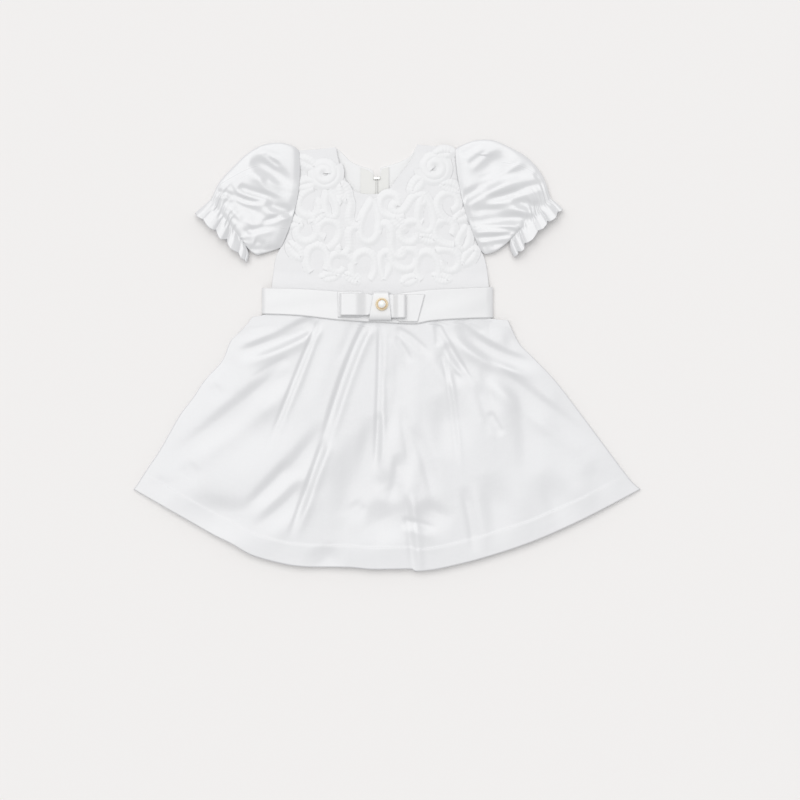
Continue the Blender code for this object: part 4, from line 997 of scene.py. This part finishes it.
# %% Folds of each sleeve
LEFT_FOLDS = [Fold(*row) for row in (
    ("hollow below cap", -152, 214, -128, 203, -96, 178, 7.6, 6.2, 2.8, -1),
    ("cap line", -135, 222, -126, 214, -115, 206, 2.2, 0.8, 0.4, -1),
    ("cap dip", -141, 226, -130, 223, -113, 217, 2.5, 0.5, 0.2, -1),
    ("middle", -132, 198, -125, 184, -95, 175, 3.8, 1.4, 0.6, -1),
    ("middle long", -163, 186, -143, 178, -97, 168, 3.8, 1.9, 0.8, -1),
    ("thin line", -174, 192, -158, 172, -126, 170, 2.5, 0.9, 0.4, -1),
    ("cuff one", -190, 180, -168, 175, -137, 164, 3.0, 1.5, 0.7, -1),
    ("cuff two", -183, 171, -156, 163, -128, 146, 5.1, 2.5, 1.1, -1),
    ("cuff three", -170, 162, -152, 151, -137, 145, 3.4, 1.3, 0.6, -1),
    ("armhole wedge", -134, 169, -117, 162, -96, 154, 5.1, 3.3, 1.5, -1),
    ("armhole line", -141, 144, -117, 153, -96, 160, 2.9, 1.4, 0.6, -1),
    ("armhole crease", -100, 145, -108, 130, -119, 116, 3.4, 1.3, 0.6, 1),
    ("low", -160, 135, -141, 139, -121, 143, 3.4, 1.3, 0.6, -1),
    ("dent", -146, 125, -139, 122, -131, 118, 4.2, 1.6, 0.7, -1),
    ("under fold", -155, 117, -135, 115, -111, 116, 3.8, 3.1, 0.0, -1),
    ("outer one", -179, 187, -170, 174, -159, 163, 2.5, 0.7, 0.3, -1),
    ("outer two", -161, 154, -152, 141, -143, 128, 3.4, 0.9, 0.4, -1),
    ("outer three", -176, 163, -168, 152, -158, 141, 2.9, 0.8, 0.4, -1),
)]
RIGHT_FOLDS = [Fold(*row) for row in (
    ("hollow below cap", 118, 228, 115, 207, 80, 188, 11.0, 7.1, 3.2, 1),
    ("upper line", 97, 193, 125, 203, 148, 216, 2.5, 0.9, 0.4, -1),
    ("upper band", 93, 177, 123, 194, 165, 205, 5.9, 3.8, 1.7, -1),
    ("middle", 104, 171, 132, 176, 153, 184, 4.2, 2.1, 0.9, -1),
    ("middle outer", 144, 181, 160, 186, 176, 188, 3.8, 1.4, 0.6, -1),
    ("armhole wedge", 78, 169, 90, 176, 107, 185, 5.1, 3.3, 1.5, -1),
    ("cuff dark", 136, 171, 155, 165, 178, 160, 5.1, 3.3, 1.5, -1),
    ("soft", 91, 157, 112, 159, 136, 160, 5.1, 1.9, 0.9, -1),
    ("darkest", 86, 144, 126, 150, 170, 149, 5.5, 4.5, 2.0, -1),
    ("thin one", 90, 138, 119, 139, 155, 135, 2.5, 1.2, 0.6, -1),
    ("thin two", 91, 129, 118, 130, 145, 136, 2.7, 1.3, 0.6, -1),
    ("low wedge", 109, 121, 123, 121, 137, 121, 5.9, 2.9, 1.3, -1),
    ("cap one", 79, 218, 91, 226, 109, 237, 3.4, 0.9, 0.4, -1),
    ("cap two", 88, 207, 99, 216, 112, 226, 3.4, 0.9, 0.4, -1),
    ("low stand", 110, 109, 108, 116, 106, 125, 3.8, 1.4, 0.6, -1),
    ("outer one", 161, 202, 170, 191, 177, 179, 3.4, 0.9, 0.4, -1),
    ("outer two", 145, 146, 156, 141, 167, 138, 3.4, 1.3, 0.6, -1),
)]

# %% [markdown]
# The gathers have two sizes. On the puff they are fine and die out away from the elastic. On the frill they
# run together into a few broad lobes with a narrow gap between each two.

# %% Rings of a sleeve
GATHERS, LOBES, CROWN = 26, 5.5, 4.5
SLEEVE_GENTLE = 1.4  # the sleeves' folds are nearly as steep on both sides
ABOVE, BELOW = 0.58, 0.42  # how a ring's height is shared over and under its middle line
GATHER_LIFT, FRILL_LIFT = 0.8, 1.5
ROOM_USED = 0.9  # how much of the space below the cloth its folds may fill
AROUND = 1.2  # the way round a ring is longer than its width


def gathers(even, hand):
    """The fine gathers and the broad lobes of a ring's upper side, made uneven by slow waves."""
    uneven = even + 0.03 * np.sin(7.0 * even + hand) + 0.012 * np.sin(23.0 * even + hand)
    fine = np.sin(uneven * math.pi * GATHERS / 2 + hand) * (0.7 + 0.3 * np.sin(11.0 * even + 2.0 * hand))
    lobes = 2 * np.abs(np.cos(uneven * math.pi * LOBES / 2 + hand)) ** 0.7 - 1
    return fine, lobes * (0.75 + 0.25 * np.sin(5.0 * even + 3.0 * hand)) + 0.08 * fine


def sleeve_rings(stations, folds, hand, sunk, rings=130, on_top=210, below=56):
    """Rings from armhole to cuff, with the folds and gathers in their upper side."""
    table = np.array(stations, float)
    at = np.linspace(0, len(table) - 1, rings)
    table = smooth_curve(np.arange(len(table)), table, at, corners=(CUFF,))
    even = np.linspace(-1, 1, on_top + 1)
    q_top = (even - np.cos(math.pi * (even + 1) / 2)) / 2
    q_low = np.linspace(1, -1, below + 1)[1:-1]
    q = np.concatenate([q_top, q_low])
    fine, lobes = gathers(even, hand)
    made, uv = [], []
    length = 0.0
    for k, (top_x, top_y, low_x, low_y, bow, height, gather, wave) in enumerate(table):
        top, low = np.array((top_x, top_y)), np.array((low_x, low_y))
        half = np.linalg.norm(low - top) / 2
        share = (q[:, None] * (half - sunk) / half + 1) / 2
        inner_height = height - 2 * sunk
        centre = sunk + BELOW * inner_height
        before = table[max(k - 1, 0)]
        step = (top + low) / 2 - (before[0:2] + before[2:4]) / 2
        length += np.linalg.norm(step)
        way = step / max(np.linalg.norm(step), 1e-9)
        frill = ramp(at[k], CUFF - 0.1, CUFF + 0.9)
        crimp = fine * (1 - frill) * ramp(at[k], CUFF - 2.4, CUFF) + FRILL_LIFT * lobes * frill
        crimp = crimp * (1 - even**4)
        rise = (1 - np.abs(q_top) ** CROWN) ** (1 / CROWN)
        z_low = centre - BELOW * inner_height * (1 - np.abs(q_low) ** 5) ** 0.2
        plan = top + (low - top) * share
        plan[:, 0] += 4 * bow * (share * (1 - share))[:, 0]
        plan[: on_top + 1] += wave * crimp[:, None] * way
        z_top = centre + ABOVE * inner_height * rise + GATHER_LIFT * gather * crimp
        space = (height - 2 * CLOTH) * rise * ROOM_USED + NO_SPACE
        made.append(np.column_stack([plan, np.concatenate([z_top, z_low]), np.resize(space, len(plan))]))
        uv.append(np.column_stack([q * half * AROUND, np.full(len(q), length)]))
    made = np.array(made)
    upper = made[:, : on_top + 1]
    x, y, space = upper[..., 0], upper[..., 1], upper[..., 3]
    valleys, ridges = fold_sums(x, y, folds, SLEEVE_GENTLE)
    soft = (1 - even[None, :] ** 6) * ramp(at, 0, 0.7)[:, None]
    soft = soft * (1 - ramp(at, CUFF - 0.6, CUFF + 0.4)[:, None])
    upper[..., 2] += soft * ridges - space * (1 - np.exp(soft * valleys / space))
    return made[..., :3], np.array(uv)


for node, stations, folds, hand in (("sleeve_left", SLEEVE_LEFT, LEFT_FOLDS, 0.4),
                                    ("sleeve_right", SLEEVE_RIGHT, RIGHT_FOLDS, 1.7)):
    outer, uv = sleeve_rings(stations, folds, hand, 0.0)
    keep_tube(node, outer, sleeve_rings(stations, folds, hand, SHELL)[0], uv, SLEEVE_SATIN)

# %% [markdown]
# ## The sash and its bow
# The sash is a flat band round the waist. The bow is flat too: a tail on each side, a loop folded over on
# each side, and a short wrap over the middle. A loop is one strip whose line goes out, folds over and
# comes back under the wrap.

# %% The sash
Edge = namedtuple("Edge", "x upper lower")
SASH = [Edge(*row) for row in (
    (-137.5, 74.0, 45.5), (-95.5, 73.0, 43.5), (-51.5, 70.0, 38.5), (-7.5, 66.5, 36.0),
    (31.0, 70.0, 34.5), (47.5, 72.0, 37.5), (80.5, 73.5, 40.0), (116.5, 75.0, 41.2),
)]
SASH_UNEVEN = 0.16


def sash_rings(sunk, rings=25, flat=151):
    """Rings round the waist, from the sash's upper edge to its lower edge."""
    left, right = SASH[0].x, SASH[-1].x
    end_height = (SASH_UNDER + CLOTH) / 2
    end_length = 2 * end_height
    flat_x = np.linspace(left + end_length, right - end_length, flat)
    turn = np.radians(np.linspace(0, 180, 13)[1:-1])
    away, up = (end_height - sunk) * np.sin(turn), (end_height - sunk) * np.cos(turn)
    right_end = np.column_stack([right - end_length + away * end_length / end_height, end_height + up])
    left_end = np.column_stack([left + end_length - away * end_length / end_height, end_height - up])
    made, uv = [], []
    for share in np.linspace(0, 1, rings):
        line = SASH_UNEVEN * np.sin(flat_x / 17.0 + 5 * share) * math.sin(math.pi * share)
        z_top = SASH_UNDER + CLOTH + waist_puff(flat_x) - sunk + line
        front = np.column_stack([flat_x, z_top])
        back = np.column_stack([flat_x[::-1], np.full(flat, sunk)])
        section = np.vstack([front, right_end, back, left_end])
        edge_y = [(e.upper, e.lower) for e in SASH]
        edges = smooth_curve([e.x for e in SASH], edge_y, np.clip(section[:, 0], left, right))
        y = edges[:, 0] + (edges[:, 1] - edges[:, 0]) * share
        made.append(np.column_stack([section[:, 0], y, section[:, 1]]))
        way = np.concatenate([[0], np.cumsum(np.linalg.norm(np.diff(section, axis=0), axis=1))])
        uv.append(np.column_stack([way, y]))
    return np.array(made), np.array(uv)


sash_outer, sash_uv = sash_rings(0.0)
keep_tube("sash", sash_outer, sash_rings(SHELL)[0], sash_uv, SASH_SATIN)
print("sash area", round(areas["sash"], 4), "m2")

# %% The bow's strips
PINCH_UPPER, PINCH_LOWER = 66.0, 45.0
LOOP_HOLLOW = 3.4
FLANK, TOP = 0.35, 0.45  # powers of the wrap's arch: the smaller, the squarer it is


def ribbon_strip(node, line, upper, lower, rows=21):
    """A folded ribbon: its middle line in x and z, and its two edges in y at each point."""
    line = np.asarray(line, float)
    way = np.gradient(line, axis=0)
    way /= np.linalg.norm(way, axis=1)[:, None]
    normal = np.column_stack([-way[:, 1], way[:, 0]])
    along = np.concatenate([[0], np.cumsum(np.linalg.norm(np.diff(line, axis=0), axis=1))])
    skins, uvs = [], []
    for side in (0.5, -0.5):
        skin = line + side * RIBBON * normal
        y = upper[:, None] + (lower - upper)[:, None] * np.linspace(0, 1, rows)
        x, z = (np.broadcast_to(skin[:, i: i + 1], y.shape) for i in (0, 1))
        skins.append(np.dstack([x, y, z]))
        uvs.append(np.dstack([np.broadcast_to(along[:, None], y.shape), y]))
    keep_shell(node, skins, SASH_SATIN, uvs)


def make_bow_loop(node, end_x, tuck_x, shelf_x, dip_length, edges):
    """A flat loop, folded over at end_x, whose upper layer dips from shelf_x to under the knot."""
    low = LOOP_UNDER + RIBBON / 2
    radius = (LOOP_HOLLOW + RIBBON) / 2
    high = low + 2 * radius
    out = math.copysign(1, end_x - tuck_x)
    fold_x = end_x - out * (radius + RIBBON / 2)
    under = [(x, low) for x in np.linspace(tuck_x, fold_x, 25)]
    bend = [(fold_x + out * radius * math.sin(a), low + radius * (1 - math.cos(a)))
            for a in np.radians(np.linspace(0, 180, 17)[1:-1])]
    over_x = np.linspace(fold_x, tuck_x, 41)
    dip = ramp((over_x - shelf_x) * -out, 0, dip_length)
    over = list(zip(over_x, high - dip * (high - low - RIBBON - SEAM)))
    line = np.array(under + bend + over)
    wide = ramp((line[:, 0] - tuck_x) * out, 7, 12)
    upper = PINCH_UPPER + (edges[0] - PINCH_UPPER) * wide
    lower = PINCH_LOWER + (edges[1] - PINCH_LOWER) * wide
    ribbon_strip(node, line, upper, lower)


def make_bow_tail(node, outer, inner_x, rows=25, cols=41):
    """A flat tail on the sash, from under the knot to its two outer corners."""
    (upper_x, upper_y), (lower_x, lower_y) = outer
    share = np.linspace(0, 1, cols)[None, :]
    down = np.linspace(0, 1, rows)[:, None]
    out_x = upper_x + (lower_x - upper_x) * down
    x = inner_x + (out_x - inner_x) * share
    wide = ramp(np.abs(x - inner_x), 6, 13)
    top = PINCH_UPPER + (upper_y - PINCH_UPPER) * wide
    bottom = PINCH_LOWER + (lower_y - PINCH_LOWER) * wide
    plan = np.dstack([x, top + (bottom - top) * down])
    under = SASH_UNDER + CLOTH + SEAM + waist_puff(plan[..., 0])
    keep_shell(node, [np.dstack([plan, under + RIBBON]), np.dstack([plan, under])], SASH_SATIN)


def make_knot(rows=61, cols=41):
    """The wrap over the middle of the bow: a strip that arches from its upper to its lower edge."""
    top_y, low_y = 69.5, 38.0
    top_left, top_right, low_left, low_right = -14.3, 1.5, -19.8, 5.0
    skins, uvs = [], []
    for sunk in (0.0, CLOTH):
        turn = np.linspace(0, math.pi, rows)
        reach = (top_y - low_y) / 2 - sunk
        y = (top_y + low_y) / 2 + reach * np.sign(np.cos(turn)) * np.abs(np.cos(turn)) ** FLANK
        z = TAIL_UNDER + (KNOT_TOP - TAIL_UNDER - sunk) * np.sin(turn) ** TOP
        down = (top_y - y) / (top_y - low_y)
        left = top_left + (low_left - top_left) * down
        right = top_right + (low_right - top_right) * down
        x = left[:, None] + (right - left)[:, None] * np.linspace(0, 1, cols)
        y, z = (np.broadcast_to(a[:, None], x.shape) for a in (y, z))
        skins.append(np.dstack([x, y, z]))
        uvs.append(np.dstack([x, np.broadcast_to(turn[:, None] * 15, x.shape)]))
    keep_shell("bow_knot", skins, SASH_SATIN, uvs)


make_bow_tail("bow_tail_left", ((-54.0, 70.0), (-53.5, 41.5)), -16.5)
make_bow_tail("bow_tail_right", ((41.5, 66.5), (33.5, 36.6)), 1.0)
make_bow_loop("bow_loop_left", -51.5, -9.5, -35.0, 13.5, (67.6, 43.5))
make_bow_loop("bow_loop_right", 20.9, -6.5, 14.0, 8.5, (66.5, 40.7))
make_knot()

# %% [markdown]
# ## The button
# The button is a pearl in a pale gold ring. The ring and the pearl are turned shapes whose solids are
# already right, so they keep them and get a better finish, and beads are set round the ring.

# %% Gold and pearl


def noise_on(tree, **values):
    """Noise over a piece's own coordinates."""
    place = tree.nodes.new("ShaderNodeTexCoord").outputs["Object"]
    return add_node(tree, "ShaderNodeTexNoise", Vector=place, **values).outputs["Fac"]


GOLD, gold_tree, gold_shader = new_material("pale_gold", (0.86, 0.70, 0.46), 0.34, Metallic=0.45)
wear = noise_on(gold_tree, Scale=900.0, Detail=3.0)
vary_colour(gold_tree, gold_shader, wear, (0.82, 0.65, 0.42), (0.98, 0.87, 0.66))
vary_roughness(gold_tree, gold_shader, wear, 0.30, 0.48)
PEARL, pearl_tree, pearl_shader = new_material(
    "pearl_lustre", (0.95, 0.93, 0.90), 0.2, Coat_Weight=0.6, Coat_Roughness=0.08, Subsurface_Weight=0.1)
layers = noise_on(pearl_tree, Scale=420.0, Detail=2.0, Distortion=0.8)
vary_colour(pearl_tree, pearl_shader, layers, (0.93, 0.90, 0.84), (0.98, 0.96, 0.95))


def dress_node(name, material):
    """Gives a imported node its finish."""
    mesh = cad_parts[name].data
    mesh.materials.clear()
    mesh.materials.append(material)


dress_node("button_ring", GOLD)
dress_node("pearl", PEARL)

# %% [markdown]
# Beads on a ring, stitches on a hem and coils on a zip are the same job: a small shape at even steps along
# a line. One tree does all three. It cuts the line into steps, sets the shape on each with its long side
# along the line, and its sizes are inputs.

# %% A tree that sets small shapes along a line


def row_tree():
    """Sets a small round shape at even steps along each line."""
    tree, given = new_tree("Small shapes along a line", {
        "Step": 0.003, "Length": 0.002, "Width": 0.0005, "Height": 0.0003})
    steps = add_node(tree, "GeometryNodeResampleCurve", mode="LENGTH", Curve=given["Geometry"],
                     Length=given["Step"]).outputs[0]
    points = add_node(tree, "GeometryNodeCurveToPoints", mode="EVALUATED", Curve=steps).outputs
    shape = add_node(tree, "GeometryNodeMeshUVSphere", Segments=8, Rings=5, Radius=0.5).outputs["Mesh"]
    size = add_node(tree, "ShaderNodeCombineXYZ", X=given["Width"], Y=given["Height"], Z=given["Length"])
    turn = add_node(tree, "FunctionNodeAlignRotationToVector", axis="Z", Vector=points["Tangent"])
    placed = add_node(tree, "GeometryNodeInstanceOnPoints", Points=points["Points"], Instance=shape,
                      Rotation=turn.outputs[0], Scale=size.outputs[0])
    end_tree(tree, given, placed.outputs[0])
    return tree


ROW = row_tree()
THREAD = cloth_material("sewing_thread", (0.83, 0.83, 0.838), 0.55, threads=5000.0, wave_size=400.0)

# %% Beads round the button
BUTTON_X, BUTTON_Y = -5.5, 55.5
RING_RADIUS, RING_WIDTH, RING_HEIGHT = 7.0, 2.3, 2.6
BEAD_COUNT, BEAD_SUNK, BEAD_OUT = 20, 0.35, 0.25
bead_z = KNOT_TOP + SEAM + RING_HEIGHT - BEAD_SUNK
bead_turn = np.linspace(0, 2 * math.pi, 97)[:-1]
bead_radius = RING_RADIUS - RING_WIDTH / 2 + BEAD_OUT
bead_line = np.column_stack([BUTTON_X + bead_radius * np.cos(bead_turn),
                             BUTTON_Y + bead_radius * np.sin(bead_turn), np.full(96, bead_z)])
bead_step = 2 * math.pi * bead_radius / BEAD_COUNT
beads = grown("button_beads", curve_object("bead line", [bead_line], closed=True), ROW, GOLD,
              {"Step": bead_step * MM, "Length": 1.7 * MM, "Width": 1.6 * MM, "Height": 1.3 * MM})

# %% [markdown]
# ## Sewing
# The hem is sewn with one row of small stitches. The line follows the hem at the depth of the
# turned-up edge, and its height is read from the skirt's own grid, so the thread lies on the cloth.

# %% The hem's stitches
THREAD_LIFT = 0.05
hem = np.array(HEM)
hem_x = np.linspace(-250, 250, 400)
hem_line = np.column_stack([hem_x, np.interp(hem_x, hem[:, 0], hem[:, 1]) + HEM_DEPTH])
hem_line = np.column_stack([hem_line, height_on(skirt_skins[0], hem_line) + THREAD_LIFT])
hem_stitches = grown("hem_stitches", curve_object("hem line", [hem_line]), ROW, THREAD,
                     {"Step": 0.0034, "Length": 0.0022, "Width": 0.0005, "Height": 0.0004})

# %% [markdown]
# ## The zip
# The back closes with a fine zip whose tapes show inside the neck. Its coil runs down the middle between
# the tapes, and the slider sits at the top.

# %% Tapes, coil and slider
TAPE = cloth_material("tape_weave", (0.805, 0.802, 0.785), 0.75, threads=1600.0, wave_size=80.0,
                      wave_height=0.2, bump=0.5)
METAL, metal_tree, metal_shader = new_material("slider_metal", (0.66, 0.66, 0.64), 0.35, Metallic=1.0)
vary_roughness(metal_tree, metal_shader, noise_on(metal_tree, Scale=1500.0, Detail=2.0), 0.25, 0.5)
for tape in ("zip_tape_left", "zip_tape_right"):
    dress_node(tape, TAPE)
dress_node("zip_slider", METAL)
COIL_LIFT, COIL_POINTS = 1.5, 60
coil_y = np.linspace(192.0, 60.0, COIL_POINTS)
coil_line = np.column_stack([np.full(COIL_POINTS, ZIP_X), coil_y, front_floor(coil_y) + COIL_LIFT])
coil = grown("zip_coil", curve_object("coil line", [coil_line]), ROW, TAPE,
             {"Step": 0.0009, "Length": 0.00095, "Width": 0.0034, "Height": 0.0010})

# %% [markdown]
# ## The pieces on the body
# Each cloth prints the size it was cut to and the area of its upper skin; every piece rides on the one
# body; and the packed cloth solids are hidden behind their cloth.

SKIRT_CUT, SLEEVE_CUT, TAIL_CUT, LOOP_CUT = (0.560, 0.292), (0.260, 0.110), (0.050, 0.034), (0.105, 0.034)
SHEETS = (
    ("skirt_front", "skirt_satin", SKIRT_CUT, "gathered", ["skirt_back"], [hem_stitches]),
    ("skirt_back", "skirt_satin", SKIRT_CUT, "laid", ["floor"], []),
    ("bodice_front", "ribbon_net", (0.245, 0.180), "laid", ["bodice_back_left", "bodice_back_right"],
     [ribbons]),
    ("bodice_back_left", "skirt_satin", (0.118, 0.176), "laid", ["floor"], []),
    ("bodice_back_right", "skirt_satin", (0.126, 0.178), "laid", ["floor"], []),
    ("sleeve_left", "sleeve_satin", SLEEVE_CUT, "gathered", ["floor"], []),
    ("sleeve_right", "sleeve_satin", SLEEVE_CUT, "gathered", ["floor"], []),
    ("sash", "sash_satin", (0.506, 0.034), "laid", ["bodice_front", "skirt_front"], []),
    ("bow_tail_left", "sash_satin", TAIL_CUT, "folded", ["sash"], []),
    ("bow_tail_right", "sash_satin", TAIL_CUT, "folded", ["sash"], []),
    ("bow_loop_left", "sash_satin", LOOP_CUT, "folded", ["sash"], []),
    ("bow_loop_right", "sash_satin", LOOP_CUT, "folded", ["sash"], []),
    ("bow_knot", "sash_satin", TAIL_CUT, "folded", ["sash"], []),
)
for node, slot, flat, held, under, carried in SHEETS:
    piece, area = pieces[node], areas[node]
    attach(piece, "root")
    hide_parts(node)
    print(f"{piece.name}: flat {flat[0]:.3f} x {flat[1]:.3f} m, area {area:.4f} m2")
DETAILS = (ribbons, "ribbon_net"), (hem_stitches, "skirt_satin"), (beads, "pale_gold"), (coil, "tape_weave")
for piece, slot in DETAILS:
    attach(piece, "root")
